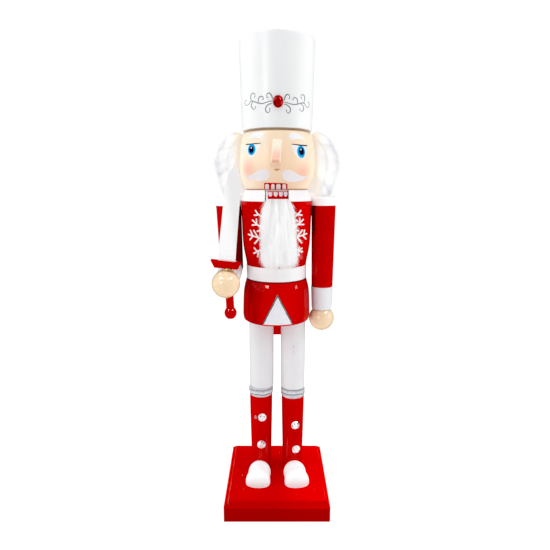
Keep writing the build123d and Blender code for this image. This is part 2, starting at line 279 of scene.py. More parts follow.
def base_light_shade_and_specks(w, col):
    """Painted highlights in thin patchy lines along the side chamfers' edges, painted light lightening the block
    towards the right, painted shade on the front chamfer and the upright faces, and a few chips and specks on the top.
    """
    x = w.math("ABSOLUTE", w.axis(0))
    z = w.axis(2)
    d_low = w.math("ABSOLUTE", w.math("SUBTRACT", x, 0.0434))
    d_up = w.math("ABSOLUTE", w.math("SUBTRACT", x, 0.0400))
    d = w.math("MINIMUM", d_low, d_up)
    line = w.remap(d, 0.0, 0.0011, 1.0, 0.0, True)
    high = w.remap(z, 0.0128, 0.0140, 0.0, 1.0, True)
    patch = w.remap(w.noise(260.0, 4.0, 0.7, (1, 0.10, 1)), 0.40, 0.66, 0.05, 1.0, True)
    # painted highlight: pale patchy lines along the side chamfers' edges
    chamfer_sheen = w.math("MULTIPLY", w.math("MULTIPLY", line, high), patch)
    col = w.mix(w.math("MULTIPLY", chamfer_sheen, 0.5), col, (0.74, 0.24, 0.17))
    # painted light: the block lighter towards the right
    col = w.mix(w.remap(w.axis(0), -0.005, 0.032, 0.0, 0.6, True), col, (0.86, 0.0, 0.0))
    # painted shade on the front chamfer
    slope = w.math("MULTIPLY", w.remap(w.axis(1), -0.0408, -0.0396, 0.45, 0.0, True), w.remap(z, 0.0128, 0.0134, 0.0, 1.0, True))
    col = w.mix(slope, col, (0.36, 0.0, 0.0))
    # painted shade on the upright faces, below the top
    col = w.mix(w.remap(z, 0.0118, 0.0128, 0.74, 0.0, True), col, (0.31, 0.0, 0.0))
    speck = w.remap(w.noise(620.0, 1.0, 0.4, loc=(0.4, 0.1, 0.7)), 0.79, 0.81, 0.0, 0.6, True)
    return w.mix(speck, col, (0.85, 0.55, 0.48))


red_base = lacquer("red_lacquer_block", (0.57, 0.0, 0.0), (0.65, 0.0, 0.0), rough=(0.35, 0.5), spec=0.0, coat=0.02,
                   grain="x", grain_depth=0.00003, extra=base_light_shade_and_specks)
white_cuff = lacquer("white_lacquer_cuff", (0.84, 0.84, 0.875), (0.89, 0.885, 0.915), rough=(0.28, 0.42), coat=0.25,
                     coat_rough=0.2, spec=0.4, grain_depth=0.000012, streaks=0.08)
# the white's faint glow is painted light
white = lacquer("white_lacquer", (0.92, 0.915, 0.93), (0.955, 0.95, 0.96), rough=(0.28, 0.42), coat=0.25, coat_rough=0.2,
                spec=0.4, grain_depth=0.000012, streaks=0.08, glow=0.03)


# painted light: a lighter, glowing copy of the white for the epaulettes
white_epaulette_lit = lacquer("white_lacquer_epaulette_lit", (0.94, 0.94, 0.955), (0.97, 0.97, 0.98), rough=(0.28, 0.42), coat=0.25,
                          coat_rough=0.2, spec=0.4, grain_depth=0.000012, streaks=0.06, glow=0.11)


def leg_tone(w, col):
    """A few red brush marks caught the front of the left thigh."""
    for cx, cz, h in ((14.4, 137.0, 3.4), (15.1, 132.0, 2.6), (14.7, 128.6, 1.6)):
        spot = w.near((cx * MM, (AY - 10.5) * MM, cz * MM), h * MM, (4.0, 0.4, 1.0))
        rag = w.remap(w.noise(1100.0, 3.0, 0.7, (1, 1, 0.4)), 0.45, 0.58, 0.0, 1.0, True)
        col = w.mix(w.math("MULTIPLY", w.math("MULTIPLY", spot, rag), 0.85), col, (0.80, 0.25, 0.24))
    return col


white_leg = lacquer("white_lacquer_leg", (0.82, 0.82, 0.845), (0.885, 0.885, 0.905), rough=(0.28, 0.42), coat=0.25, coat_rough=0.2,
                    spec=0.4, grain_depth=0.000012, streaks=0.1, extra=leg_tone)
def hat_side_light(w, col):
    """Painted light: the hat is lighter towards both sides than along the middle."""
    x = w.math("ABSOLUTE", w.axis(0))
    return w.mix(w.remap(x, 0.012, 0.0285, 0.0, 0.9, True), col, (0.975, 0.98, 0.98))


# the hat's faint glow is painted light too
white_hat = lacquer("white_lacquer_hat", (0.80, 0.815, 0.82), (0.85, 0.865, 0.87), rough=(0.3, 0.45), coat=0.2, coat_rough=0.25,
                    spec=0.4, grain_depth=0.000010, streaks=0.05, extra=hat_side_light, glow=0.04)
# painted light: the shoes glow to stay bright white
white_shoe = lacquer("white_lacquer_shoe", (0.75, 0.81, 0.82), (0.79, 0.85, 0.86), rough=(0.35, 0.5), coat=0.1, coat_rough=0.3,
                     spec=0.25, grain_depth=0.000008, streaks=0.03, glow=0.25)


def blade_flank_shade(w, col):
    """Painted shade: the blade's far edge has a cool, darker flank."""
    x = w.math("ADD", w.axis(0), w.math("MULTIPLY", w.math("SUBTRACT", w.axis(2), 0.24), 0.115))
    return w.mix(w.remap(x, -0.0370, -0.0290, 0.0, 0.42, True), col, (0.62, 0.57, 0.60))


# the blade's faint glow is painted light
white_blade = lacquer("white_lacquer_blade", (0.94, 0.95, 0.95), (0.97, 0.97, 0.97), rough=(0.4, 0.55), coat=0.1,
                      coat_rough=0.3, spec=0.35, grain_depth=0.00002, streaks=0.1, extra=blade_flank_shade, glow=0.07)


def face_tone(w, col):
    """Face: painted light makes the sides creamy, far more on the sword-arm side, and painted shade gives a warm darker
    band on the other side of the middle; warmer and deeper in the lower middle, below the nose; a pink blush on each
    cheek; painted shade along the sides, at the foot and under the hat.
    """
    ax = w.axis(0)
    x = w.math("ABSOLUTE", ax)
    z = w.axis(2)
    # painted light: creamy sides
    side = w.remap(x, 0.009, 0.026, 0.0, 1.0, True)
    much = w.remap(ax, -0.006, 0.010, 0.85, 0.16, True)
    col = w.mix(w.math("MULTIPLY", side, much), col, (0.96, 0.86, 0.70))
    low = w.remap(z, 0.266, 0.294, 1.0, 0.0, True)
    mid = w.remap(x, 0.008, 0.024, 1.0, 0.15, True)
    col = w.mix(w.math("MULTIPLY", w.math("MULTIPLY", low, mid), 0.55), col, (0.82, 0.53, 0.35))
    # painted shade: a warm darker band on the left-arm side of the middle
    right = w.remap(ax, 0.001, 0.012, 0.0, 1.0, True)
    right = w.math("MULTIPLY", right, w.remap(ax, 0.012, 0.020, 1.0, 0.0, True))
    col = w.mix(w.math("MULTIPLY", right, 0.35), col, (0.88, 0.60, 0.40))
    for cx, cy, cz, r, k in ((-22.0, -12.4, 283.0, 0.0125, 0.62), (19.8, -14.7, 280.3, 0.0125, 0.60)):
        blush = w.near((cx * MM, cy * MM, cz * MM), r, (1.0, 1.0, 1.1))
        speck = w.remap(w.noise(1500.0, 2.0, 0.6), 0.3, 0.7, 0.85, 1.0)
        col = w.mix(w.math("MULTIPLY", w.math("MULTIPLY", blush, k), speck), col, (0.93, 0.38, 0.29))
    for cx, cy, cz, r, k in ((-11.5, -20.0, 306.5, 0.0060, 0.75), (11.5, -20.0, 307.0, 0.0048, 0.6), (-8.6, -21.0, 298.5, 0.0052, 0.7)):
        spray = w.near((cx * MM, cy * MM, cz * MM), r, (1.0, 0.5, 0.8))
        grit = w.remap(w.noise(1250.0, 3.0, 0.7, loc=(0.2, 0.7, 0.1)), 0.50, 0.60, 0.0, 1.0, True)
        col = w.mix(w.math("MULTIPLY", w.math("MULTIPLY", spray, grit), k), col, (0.95, 0.92, 0.88))
    # painted shade along the face's edges, next to the hair
    rim = w.remap(x, 0.0287, 0.0302, 0.0, 0.26, True)
    col = w.mix(rim, col, (0.62, 0.40, 0.22))
    # painted shade at the foot of the head, over the collar joint
    foot = w.remap(z, 0.2678, 0.2688, 0.75, 0.0, True)
    col = w.mix(foot, col, (0.42, 0.13, 0.07))
    # painted shade at the top, under the hat
    edge = w.remap(z, 0.3104, 0.3122, 0.0, 0.6, True)
    return w.mix(edge, col, (0.50, 0.29, 0.15))


flesh = lacquer("flesh_lacquer_face", (0.97, 0.755, 0.545), (0.99, 0.81, 0.605), rough=(0.3, 0.42), coat=0.06, coat_rough=0.2,
                spec=0.25, grain_depth=0.00001, extra=face_tone, streaks=0.08)


def nose_tone(w, col):
    z = w.axis(2)
    col = w.mix(w.remap(z, 0.2905, 0.3015, 0.0, 1.0, True), (0.95, 0.55, 0.42), (0.97, 0.90, 0.73))
    tip = w.remap(z, 0.2880, 0.2896, 1.0, 0.0, True)
    return w.mix(w.math("MULTIPLY", tip, 0.8), col, (0.80, 0.42, 0.27))


flesh_nose = lacquer("flesh_lacquer_nose", (0.94, 0.735, 0.525), (0.97, 0.79, 0.585), rough=(0.3, 0.42), coat=0.2,
                     coat_rough=0.2, spec=0.35, grain_depth=0.000008, extra=nose_tone, streaks=0.05)
flesh_edge = lacquer("flesh_lacquer_nose_edge", (0.94, 0.84, 0.66), (0.96, 0.88, 0.72), rough=(0.3, 0.42), coat=0.25,
                     coat_rough=0.2, spec=0.35, grain_depth=0.000006, streaks=0.04)
# painted shade: a darker, tan copy of the flesh for the nose's underside
flesh_under = lacquer("flesh_lacquer_nose_underside", (0.80, 0.56, 0.38), (0.86, 0.62, 0.44), rough=(0.35, 0.5), coat=0.1,
                      coat_rough=0.2, spec=0.3, grain_depth=0.000006, streaks=0.05)
flesh_shade = lacquer("flesh_lacquer_shaded", (0.56, 0.30, 0.14), (0.64, 0.36, 0.18), rough=(0.4, 0.55), coat=0.0, spec=0.2,
                      grain_depth=0.000006, streaks=0.05)
flesh_hand = lacquer("flesh_lacquer_hand", (0.985, 0.73, 0.465), (1.0, 0.79, 0.55), rough=(0.2, 0.32), coat=0.9,
                     coat_rough=0.05, spec=0.35, grain_depth=0.000008, streaks=0.12)

w = Mat("silver_paint")
# painted reflections of the silver bead, banded by height: a bright lip above, a dark wavy line across the middle, and
# greyer paint below
zz = w.math("ADD", w.axis(2), w.math("MULTIPLY", w.math("SUBTRACT", w.noise(130.0, 3.0, 0.6, (1, 1, 0.3)), 0.5), 0.0030))
bent = w.math("ADD", zz, w.math("MULTIPLY", w.math("MULTIPLY", w.math("SUBTRACT", w.math("ABSOLUTE", w.axis(0)), 0.014), 9.0),
                                 w.math("SUBTRACT", w.math("ABSOLUTE", w.axis(0)), 0.014)))
tone = w.ramp(w.remap(bent, 0.0870, 0.0975, 0.0, 1.0),
              [(0.0, (0.46, 0.47, 0.51)), (0.16, (0.68, 0.69, 0.74)), (0.34, (0.80, 0.81, 0.85)), (0.43, (0.62, 0.63, 0.67)),
               (0.48, (0.10, 0.11, 0.14)), (0.56, (0.90, 0.91, 0.94)), (0.74, (0.70, 0.71, 0.75)), (0.86, (0.28, 0.29, 0.33)),
               (0.94, (0.74, 0.75, 0.79))])
fleck = w.noise(760.0, 4.0, 0.65, (1, 1, 0.5))
w.set(metal=0.08, coat=0.5, coat_rough=0.08, spec=0.4,
      color=w.mix(w.remap(fleck, 0.45, 0.68, 0.0, 0.22, True), tone, (0.24, 0.25, 0.28)),
      rough=w.remap(w.noise(300.0, 3.0), 0.3, 0.7, 0.18, 0.34),
      normal=w.bump(w.noise(260.0, 2.0, 0.5, (1, 1, 0.5)), 0.5, 0.00012))
silver = w.m

w = Mat("silver_outline")
w.set(metal=0.7, color=w.ramp(w.noise(900.0, 3.0), [(0.35, (0.13, 0.135, 0.15)), (0.7, (0.36, 0.37, 0.39))]),
      rough=w.remap(w.noise(500.0, 3.0), 0.3, 0.7, 0.28, 0.5), normal=w.bump(w.noise(1400.0, 2.0), 0.5, 0.00003))
outline = w.m

w = Mat("scroll_silver")
far_out = w.remap(w.math("ABSOLUTE", w.axis(0)), 0.004, 0.021, 0.0, 1.0, True)
w.set(metal=0.15, color=w.mix(w.remap(w.noise(700.0, 3.0), 0.35, 0.7, 0.0, 0.3),
                              w.mix(far_out, (0.075, 0.08, 0.092), (0.30, 0.315, 0.34)), (0.40, 0.41, 0.44)),
      rough=w.remap(w.noise(500.0, 3.0), 0.3, 0.7, 0.35, 0.5), spec=0.2, normal=w.bump(w.noise(1600.0, 2.0), 0.5, 0.00003))
scroll_mat = w.m

w = Mat("bare_wood")
rings = w.node("ShaderNodeTexWave", wave_type="BANDS", bands_direction="X")
rings.inputs["Scale"].default_value = 130.0
rings.inputs["Distortion"].default_value = 6.0
rings.inputs["Detail"].default_value = 2.0
w.link(w.coords((1, 1, 0.08)), rings.inputs["Vector"])
w.set(color=w.mix(w.remap(rings.outputs["Fac"], 0, 1, 0.0, 0.6), (0.66, 0.46, 0.27), (0.48, 0.30, 0.15)),
      rough=w.remap(w.noise(300.0), 0.3, 0.7, 0.55, 0.8), normal=w.bump(rings.outputs["Fac"], 0.4, 0.00004))
bare_wood = w.m

w = Mat("pin_steel")
w.set(metal=1.0, color=w.ramp(w.noise(600.0, 3.0, 0.6, (0.05, 1, 1)), [(0.3, (0.42, 0.42, 0.44)), (0.7, (0.62, 0.62, 0.64))]),
      rough=w.remap(w.noise(500.0, 3.0, 0.6, (0.05, 1, 1)), 0.3, 0.7, 0.2, 0.42),
      normal=w.bump(w.noise(1500.0, 2.0, 0.5, (0.05, 1, 1)), 0.4, 0.00002))
pin_steel = w.m


def paint_mat(name, dark, light, rough=(0.25, 0.4), coat=0.3, bump=0.00003, spec=0.4):
    w = Mat(name)
    w.set(color=w.ramp(w.noise(220.0, 4.0, 0.6), [(0.3, dark), (0.7, light)]),
          rough=w.remap(w.noise(400.0, 3.0), 0.3, 0.7, rough[0], rough[1]), coat=coat, coat_rough=0.12, spec=spec,
          normal=w.bump(w.noise(800.0, 3.0, 0.6), 0.5, bump))
    return w.m


opening_paint = paint_mat("coat_opening_paint", (0.85, 0.855, 0.92), (0.90, 0.905, 0.96), bump=0.00001)
white_paint = paint_mat("white_detail_paint", (0.88, 0.88, 0.89), (0.93, 0.93, 0.93), bump=0.00001)
eye_paint = paint_mat("eye_white_paint", (0.86, 0.85, 0.86), (0.92, 0.92, 0.93), coat=0.4)
moustache_paint = paint_mat("moustache_paint", (0.84, 0.79, 0.81), (0.89, 0.85, 0.86), rough=(0.35, 0.5), bump=0.00001)
black_paint = paint_mat("black_paint", (0.006, 0.006, 0.007), (0.014, 0.014, 0.016), coat=0.0, spec=0.1)
pupil_paint = paint_mat("pupil_paint", (0.003, 0.006, 0.028), (0.006, 0.010, 0.040), coat=0.05, spec=0.05)
mouth_paint = paint_mat("mouth_red_paint", (0.50, 0.0, 0.001), (0.60, 0.0, 0.003), coat=0.08, spec=0.05)
tooth_paint = paint_mat("tooth_paint", (0.74, 0.66, 0.64), (0.84, 0.78, 0.76))
tooth_low_paint = paint_mat("lower_tooth_paint", (0.76, 0.66, 0.72), (0.84, 0.76, 0.82))

# painted shade: near-black red laid where joints are in shadow
joint_shadow_dark = paint_mat("joint_shadow_lacquer", (0.05, 0.0, 0.0), (0.10, 0.0, 0.0), rough=(0.5, 0.7), coat=0.0, spec=0.05)
# painted shadow: dark brown for the gap under the hat
joint_shadow_brown = paint_mat("joint_shadow_brown_paint", (0.10, 0.05, 0.025), (0.24, 0.13, 0.07), rough=(0.4, 0.6), coat=0.0, spec=0.2)

w = Mat("iris_paint")
w.set(color=w.ramp(w.noise(500.0, 4.0, 0.6), [(0.3, (0.0, 0.30, 0.72)), (0.7, (0.008, 0.44, 0.86))]),
      rough=w.remap(w.noise(400.0), 0.3, 0.7, 0.2, 0.32), coat=0.05, coat_rough=0.1, spec=0.1,
      normal=w.bump(w.noise(900.0), 0.4, 0.00003))
iris_paint = w.m

w = Mat("glue")
w.set(color=w.ramp(w.noise(300.0, 4.0, 0.6), [(0.3, (0.30, 0.16, 0.045)), (0.72, (0.62, 0.42, 0.18))]),
      rough=w.remap(w.noise(400.0), 0.3, 0.7, 0.1, 0.22), coat=0.6, coat_rough=0.06, sss=0.25, sss_scale=0.002,
      normal=w.bump(w.noise(900.0), 0.5, 0.0001))
glue = w.m

w = Mat("clear_glue_smear")
w.set(color=w.ramp(w.noise(600.0, 4.0, 0.6), [(0.3, (0.55, 0.10, 0.12)), (0.7, (0.80, 0.45, 0.50))]),
      rough=w.remap(w.noise(400.0), 0.3, 0.7, 0.1, 0.3), coat=0.5, coat_rough=0.08,
      normal=w.bump(w.noise(1200.0), 0.7, 0.0001))
smear = w.m


def stone_mat(name, rough, metal, coat, glow=0.0):
    """Facets carry their own tone in a colour attribute: painted reflections, standing in for light coming back off the
    foil behind them; with glow they also glow by that tone.
    """
    w = Mat(name)
    a = w.node("ShaderNodeAttribute", attribute_name="facet")
    col = w.mix(w.remap(w.noise(1500.0, 2.0), 0.4, 0.7, 0.0, 0.12), a.outputs["Color"], (1.0, 1.0, 1.0), "MULTIPLY")
    w.set(color=col, metal=metal, coat=coat, coat_rough=0.02, **(dict(glow=glow, glow_color=col) if glow else {}),
          rough=w.remap(w.noise(900.0, 2.0), 0.3, 0.7, rough, rough + 0.06))
    return w.m


# the clear stones' glow is painted light
clear_stone = stone_mat("clear_stone", 0.05, 0.12, 0.6, 0.2)
red_stone = stone_mat("red_stone", 0.12, 0.25, 0.3)


def fur_mat(name, root, mid, tip, head_shade, glow, shade, body):
    """Fine white hair: light scattered from hair to hair is stood in for by a faint even glow."""
    w = Mat(name)
    a = w.node("ShaderNodeAttribute", attribute_name="strand")
    sep = w.node("ShaderNodeSeparateColor")
    w.link(a.outputs["Color"], sep.inputs[0])
    pale = w.ramp(sep.outputs[0], [(0.0, root), (0.4, mid), (1.0, mid)])
    # each hair greys towards its tip
    grey_tipped = w.ramp(sep.outputs[0], [(0.0, root), (0.45, mid), (1.0, tip)])
    col = w.mix(w.remap(sep.outputs[1], 0.35, 0.65, 0.0, 1.0, True), pale, grey_tipped)
    col = w.mix(w.remap(sep.outputs[1], 0.45, 0.85, 0.0, shade, True), col, (0.56, 0.565, 0.59))
    # painted shade: a cream tint on the hair close to the head
    if head_shade:
        y = w.math("SUBTRACT", w.axis(1), AY * MM)
        rad = w.math("SQRT", w.math("ADD", w.math("MULTIPLY", w.axis(0), w.axis(0)), w.math("MULTIPLY", y, y)))
        head_shade_mask = w.remap(rad, 0.0295, 0.0375, 0.62, 0.0, True)
        col = w.mix(head_shade_mask, col, (0.90, 0.76, 0.58))
    w.set(color=w.mix(1.0, col, (body, body, body), "MULTIPLY"), rough=w.remap(w.noise(500.0), 0.3, 0.7, 0.5, 0.7), spec=0.2,
          sheen=0.2, sheen_rough=0.4, glow=glow, glow_color=col)
    return w.m


hair_mat = fur_mat("hair_fur", (0.96, 0.95, 0.93), (0.98, 0.98, 0.98), (0.58, 0.62, 0.68), True, 0.54, 0.42, 0.66)
beard_mat = fur_mat("beard_fur", (0.90, 0.885, 0.885), (0.97, 0.965, 0.965), (0.90, 0.89, 0.89), False, 0.37, 0.62, 0.82)


def felt(name, dark, light, glow):
    """The dense fur under the longest hairs; its faint even glow is painted light."""
    w = Mat(name)
    f = w.noise(900.0, 5.0, 0.7, (1, 1, 0.22), distortion=0.5)
    w.set(color=w.ramp(f, [(0.3, dark), (0.68, light)]), rough=w.remap(f, 0.3, 0.7, 0.75, 0.95), spec=0.15,
          sheen=0.3, sheen_rough=0.5, normal=w.bump(f, 0.9, 0.0007), glow=glow, glow_color=(1.0, 0.985, 0.97))
    return w.m


hair_felt = felt("hair_underfur", (0.95, 0.94, 0.92), (0.98, 0.975, 0.97), 0.30)
beard_felt = felt("beard_underfur", (0.86, 0.84, 0.83), (0.97, 0.97, 0.96), 0.20)


def dress(name, mat):
    mesh = NODES[name].data
    if not mesh.materials:
        mesh.materials.append(mat)
    for i in range(len(mesh.materials)):
        mesh.materials[i] = mat


finish = {
    "base": red_base, "torso": red_chest, "coat_skirt": red_skirt, "boot_left": red_boot, "boot_right": red_boot,
    "sleeve_left": red_sleeve_left, "upper_sleeve_right": red_sleeve, "forearm_sleeve_right": red_sleeve, "jaw_lever": red,
    "sword_guard": red, "sword_grip": red, "shoe_left": white_shoe, "shoe_right": white_shoe, "thigh_left": white_leg,
    "thigh_right": white_leg, "belt": white, "collar_left": white, "collar_right": white, "hat": white_hat,
    "epaulette_left": white_epaulette_lit, "epaulette_right": white_epaulette_lit, "cuff_left": white_cuff, "cuff_right": white_cuff,
    "sword_blade": white_blade, "head": flesh, "nose": flesh_nose, "hand_left": flesh_hand,
    "hand_right": flesh_hand, "knee_band_left": silver, "knee_band_right": silver, "jaw_pin": pin_steel,
    "boot_studs": clear_stone, "hat_gem": red_stone, "hair": hair_felt, "beard": beard_felt,
}
# the shoulder dowels are painted near-black: painted shade in the gap between the arms and the chest
for n in NODES:
    dress(n, finish.get(n, joint_shadow_dark if "shoulder" in n else bare_wood))


# ----------------------------------------------------------------- helpers
def add_mesh(name, verts, faces, mat, body="figure", smooth=True):
    me = bpy.data.meshes.new(name)
    me.from_pydata([tuple(v) for v in verts], [], [tuple(f) for f in faces])
    me.validate()
    me.update()
    if smooth:
        me.polygons.foreach_set("use_smooth", [True] * len(me.polygons))
    me.materials.append(mat)
    ob = bpy.data.objects.new(name, me)
    scene.collection.objects.link(ob)
    if body:
        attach(ob, body)
    return ob


def catmull(pts, closed=True, per=8):
    """A smooth line through points, as a list of 2-D points."""
    p = [np.array(q, float) for q in pts]
    n = len(p)
    out = []
    last = n if closed else n - 1
    for i in range(last):
        if closed:
            a, b, c, d = p[(i - 1) % n], p[i], p[(i + 1) % n], p[(i + 2) % n]
        else:
            a, b, c, d = p[max(i - 1, 0)], p[i], p[i + 1], p[min(i + 2, n - 1)]
        for k in range(per):
            t = k / per
            out.append(0.5 * ((2 * b) + (c - a) * t + (2 * a - 5 * b + 4 * c - d) * t * t
                              + (3 * b - a - 3 * c + d) * t ** 3))
    if not closed:
        out.append(p[-1])
    return out


def evenly(pts, step, closed=True):
    p = [np.array(q, float) for q in pts]
    if closed:
        p = p + [p[0]]
    seg = [np.linalg.norm(b - a) for a, b in zip(p, p[1:])]
    total = sum(seg)
    n = max(int(round(total / step)), 6)
    want = [total * i / n for i in range(n if closed else n + 1)]
    out, i, run = [], 0, 0.0
    for wlen in want:
        while i < len(seg) - 1 and run + seg[i] < wlen:
            run += seg[i]
            i += 1
        t = (wlen - run) / seg[i] if seg[i] > 1e-12 else 0.0
        out.append(p[i] + (p[i + 1] - p[i]) * min(max(t, 0.0), 1.0))
    return out


def inside(q, loop):
    """Which of many points lie inside a closed loop."""
    q, loop = np.asarray(q, float), np.asarray(loop, float)
    x, y = q[:, 0][:, None], q[:, 1][:, None]
    x1, y1 = loop[:, 0][None], loop[:, 1][None]
    x2, y2 = np.roll(loop[:, 0], -1)[None], np.roll(loop[:, 1], -1)[None]
    dy = np.where(np.abs(y2 - y1) < 1e-12, 1e-12, y2 - y1)
    cross = ((y1 > y) != (y2 > y)) & (x < (x2 - x1) * (y - y1) / dy + x1)
    return cross.sum(1) % 2 == 1


def gap_to(q, pts):
    """Distance from many points to the nearest of a set of points."""
    q, pts = np.asarray(q, float), np.asarray(pts, float)
    out = np.empty(len(q))
    for i in range(0, len(q), 2000):
        d = q[i:i + 2000, None, :] - pts[None]
        out[i:i + 2000] = np.sqrt((d * d).sum(-1).min(1))
    return out


def ellipse(cx, cz, a, b, tilt=0.0, n=36):
    t = math.radians(tilt)
    out = []
    for i in range(n):
        q = 2 * math.pi * i / n
        u, v = a * math.cos(q), b * math.sin(q)
        out.append((cx + u * math.cos(t) - v * math.sin(t), cz + u * math.sin(t) + v * math.cos(t)))
    return out


def capsule(p, q, width, n=7):
    (x0, z0), (x1, z1) = p, q
    a = math.atan2(z1 - z0, x1 - x0)
    r = width / 2
    out = []
    for i in range(n + 1):
        t = a + math.pi / 2 + math.pi * i / n
        out.append((x0 + r * math.cos(t), z0 + r * math.sin(t)))
    for i in range(n + 1):
        t = a - math.pi / 2 + math.pi * i / n
        out.append((x1 + r * math.cos(t), z1 + r * math.sin(t)))
    return out


def ribbon(path, widths):
    """Both edges of a line of varying width, as one closed loop."""
    p = [np.array(q, float) for q in path]
    left, right = [], []
    for i, q in enumerate(p):
        d = p[min(i + 1, len(p) - 1)] - p[max(i - 1, 0)]
        d = d / (np.linalg.norm(d) + 1e-12)
        nrm = np.array([-d[1], d[0]])
        left.append(q + nrm * widths[i] / 2)
        right.append(q - nrm * widths[i] / 2)
    return left + right[::-1]


TREES = {}


def tree(node):
    if node not in TREES:
        me = NODES[node].data
        TREES[node] = BVHTree.FromPolygons([v.co.copy() for v in me.vertices], [tuple(f.vertices) for f in me.polygons])
    return TREES[node]


def surface_point(node, x, z, turned=True):
    """Where a line from the front meets a CAD node, and the direction out of the surface there (mm in, m out)."""
    hit, nrm, _, _ = tree(node).ray_cast(Vector((x * MM, -0.2, z * MM)), Vector((0, 1, 0)))
    if hit is None:
        return None, None
    if turned:
        rad = Vector((hit.x, hit.y - AY * MM, 0.0)).normalized()
        nz = max(min(nrm.z, 0.9), -0.9)
        k = math.sqrt(1 - nz * nz)
        nrm = Vector((rad.x * k, rad.y * k, nz))
    return hit, nrm


def painted(name, loops, node, mat, thick=0.10, lift=0.0, step=0.45, edge=0.45, turned=True, body="figure",
            sink=0.03):
    """A coat of thick paint laid on a CAD surface: closed, domed, its rim sunk just under the surface."""
    pts, faces = [], []
    rims = [evenly(l, step) for l in loops]
    for k, rim in enumerate(rims):
        if sum(a[0] * b[1] - b[0] * a[1] for a, b in zip(rim, rim[1:] + rim[:1])) < 0:
            rims[k] = rim[::-1]
    for rim in rims:
        faces.append(list(range(len(pts), len(pts) + len(rim))))
        pts += [tuple(q) for q in rim]
    allp = np.array(pts)
    lo, hi = allp.min(0), allp.max(0)
    grid = []
    for j, zz in enumerate(np.arange(lo[1], hi[1], step * 0.866)):
        xs = np.arange(lo[0], hi[0], step) + (step / 2 if j % 2 else 0.0)
        grid.append(np.stack([xs, np.full(len(xs), zz)], 1))
    grid = np.concatenate(grid)
    hit = np.zeros(len(grid), bool)
    for rim in rims:
        r = np.array(rim)
        box = ((grid >= r.min(0)) & (grid <= r.max(0))).all(1)
        ix = np.nonzero(box & ~hit)[0]
        if len(ix):
            hit[ix] = inside(grid[ix], r)
    grid = grid[hit]
    grid = grid[gap_to(grid, allp) > step * 0.55] if len(grid) else grid
    pts += [tuple(q) for q in grid]
    res = delaunay_2d_cdt([Vector(q) for q in pts], [], faces, 1, 1e-5)
    v2, f2, of = res[0], res[2], res[5]
    keepf = [f for f, o in zip(f2, of) if len(o)]
    used = sorted({i for f in keepf for i in f})
    remap = {o: i for i, o in enumerate(used)}
    v2 = [v2[i] for i in used]
    keepf = [[remap[i] for i in f] for f in keepf]
    count = {}
    for f in keepf:
        for a, b in zip(f, f[1:] + f[:1]):
            k = (min(a, b), max(a, b))
            count[k] = count.get(k, 0) + 1
    rim_edges = {k for k, c in count.items() if c == 1}
    rim_idx = sorted({i for k in rim_edges for i in k})
    rimp = np.array([v2[i] for i in rim_idx])
    depth = gap_to(np.array([tuple(q) for q in v2]), rimp)
    top, bottom = [], []
    for q, d in zip(v2, depth):
        p, n = surface_point(node, q[0], q[1], turned)
        if p is None:
            raise RuntimeError(f"{name}: no surface at {tuple(q)}")
        h = lift - sink + (thick + sink) * math.sin(min(d / edge, 1.0) * math.pi / 2)
        top.append(p + n * h * MM)
        bottom.append(p - n * 0.15 * MM)
    nv = len(top)
    out = []
    for f in keepf:
        a, b, c = (Vector(v2[i]) for i in f[:3])
        flip = (b.x - a.x) * (c.y - a.y) - (b.y - a.y) * (c.x - a.x) < 0
        f = f[::-1] if flip else f
        # the surface's outside looks to -Y, so x right and z up is counter-clockwise from the front
        out.append(tuple(f))
        out.append(tuple(nv + i for i in reversed(f)))
        for p_, q_ in zip(f, f[1:] + f[:1]):
            if (min(p_, q_), max(p_, q_)) in rim_edges:
                out.append((q_, p_, nv + p_, nv + q_))
    return add_mesh(name, top + bottom, out, mat, body, True)


def blob(name, centre, radii, mat, seed, body="figure", rough=0.25, freq=0.35, sub=3):
    """A small lump with an uneven surface."""
    bm = bmesh.new()
    bmesh.ops.create_icosphere(bm, subdivisions=sub, radius=1.0)
    rnd = random.Random(seed)
    waves = [(Vector((rnd.uniform(-1, 1), rnd.uniform(-1, 1), rnd.uniform(-1, 1))).normalized(), rnd.uniform(2, 6),
              rnd.uniform(0, 6.28)) for _ in range(7)]
    for v in bm.verts:
        k = 1.0 + sum(math.sin(v.co.dot(d) * f + ph) for d, f, ph in waves) / 7 * rough
        v.co = Vector((centre[0] + v.co.x * radii[0] * k, centre[1] + v.co.y * radii[1] * k,
                       centre[2] + v.co.z * radii[2] * k)) * MM
    me = bpy.data.meshes.new(name)
    bm.to_mesh(me)
    bm.free()
    me.polygons.foreach_set("use_smooth", [True] * len(me.polygons))
    me.materials.append(mat)
    ob = bpy.data.objects.new(name, me)
    scene.collection.objects.link(ob)
    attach(ob, body)
    return ob


# ------------------------------------------------------------- the face
white_r = [(-24.0, 301.8), (-20.3, 301.5), (-16.2, 301.5), (-13.0, 301.4), (-12.2, 300.6), (-12.8, 298.5), (-14.1, 296.6),
           (-15.8, 294.5), (-17.6, 292.9), (-19.5, 292.1), (-21.3, 292.5), (-22.9, 294.0), (-23.7, 296.0), (-24.1, 298.4)]
white_l = [(11.0, 300.7), (14.2, 300.7), (18.1, 300.6), (21.1, 300.5), (23.0, 300.4), (23.1, 298.7), (23.0, 296.4),
           (22.1, 294.2), (21.0, 292.5), (19.4, 291.2), (17.6, 290.9), (15.9, 291.5), (13.9, 293.2), (12.4, 295.3),
           (11.4, 297.6)]
painted("eye_white_right", [catmull(white_r)], "head", eye_paint, thick=0.09)
painted("eye_white_left", [catmull(white_l)], "head", eye_paint, thick=0.09)
painted("iris_right", [ellipse(-19.25, 297.6, 3.2, 4.3, -3)], "head", iris_paint, thick=0.06, lift=0.08, step=0.35)
painted("iris_left", [ellipse(18.15, 295.95, 3.3, 4.7, 7)], "head", iris_paint, thick=0.06, lift=0.08, step=0.35)
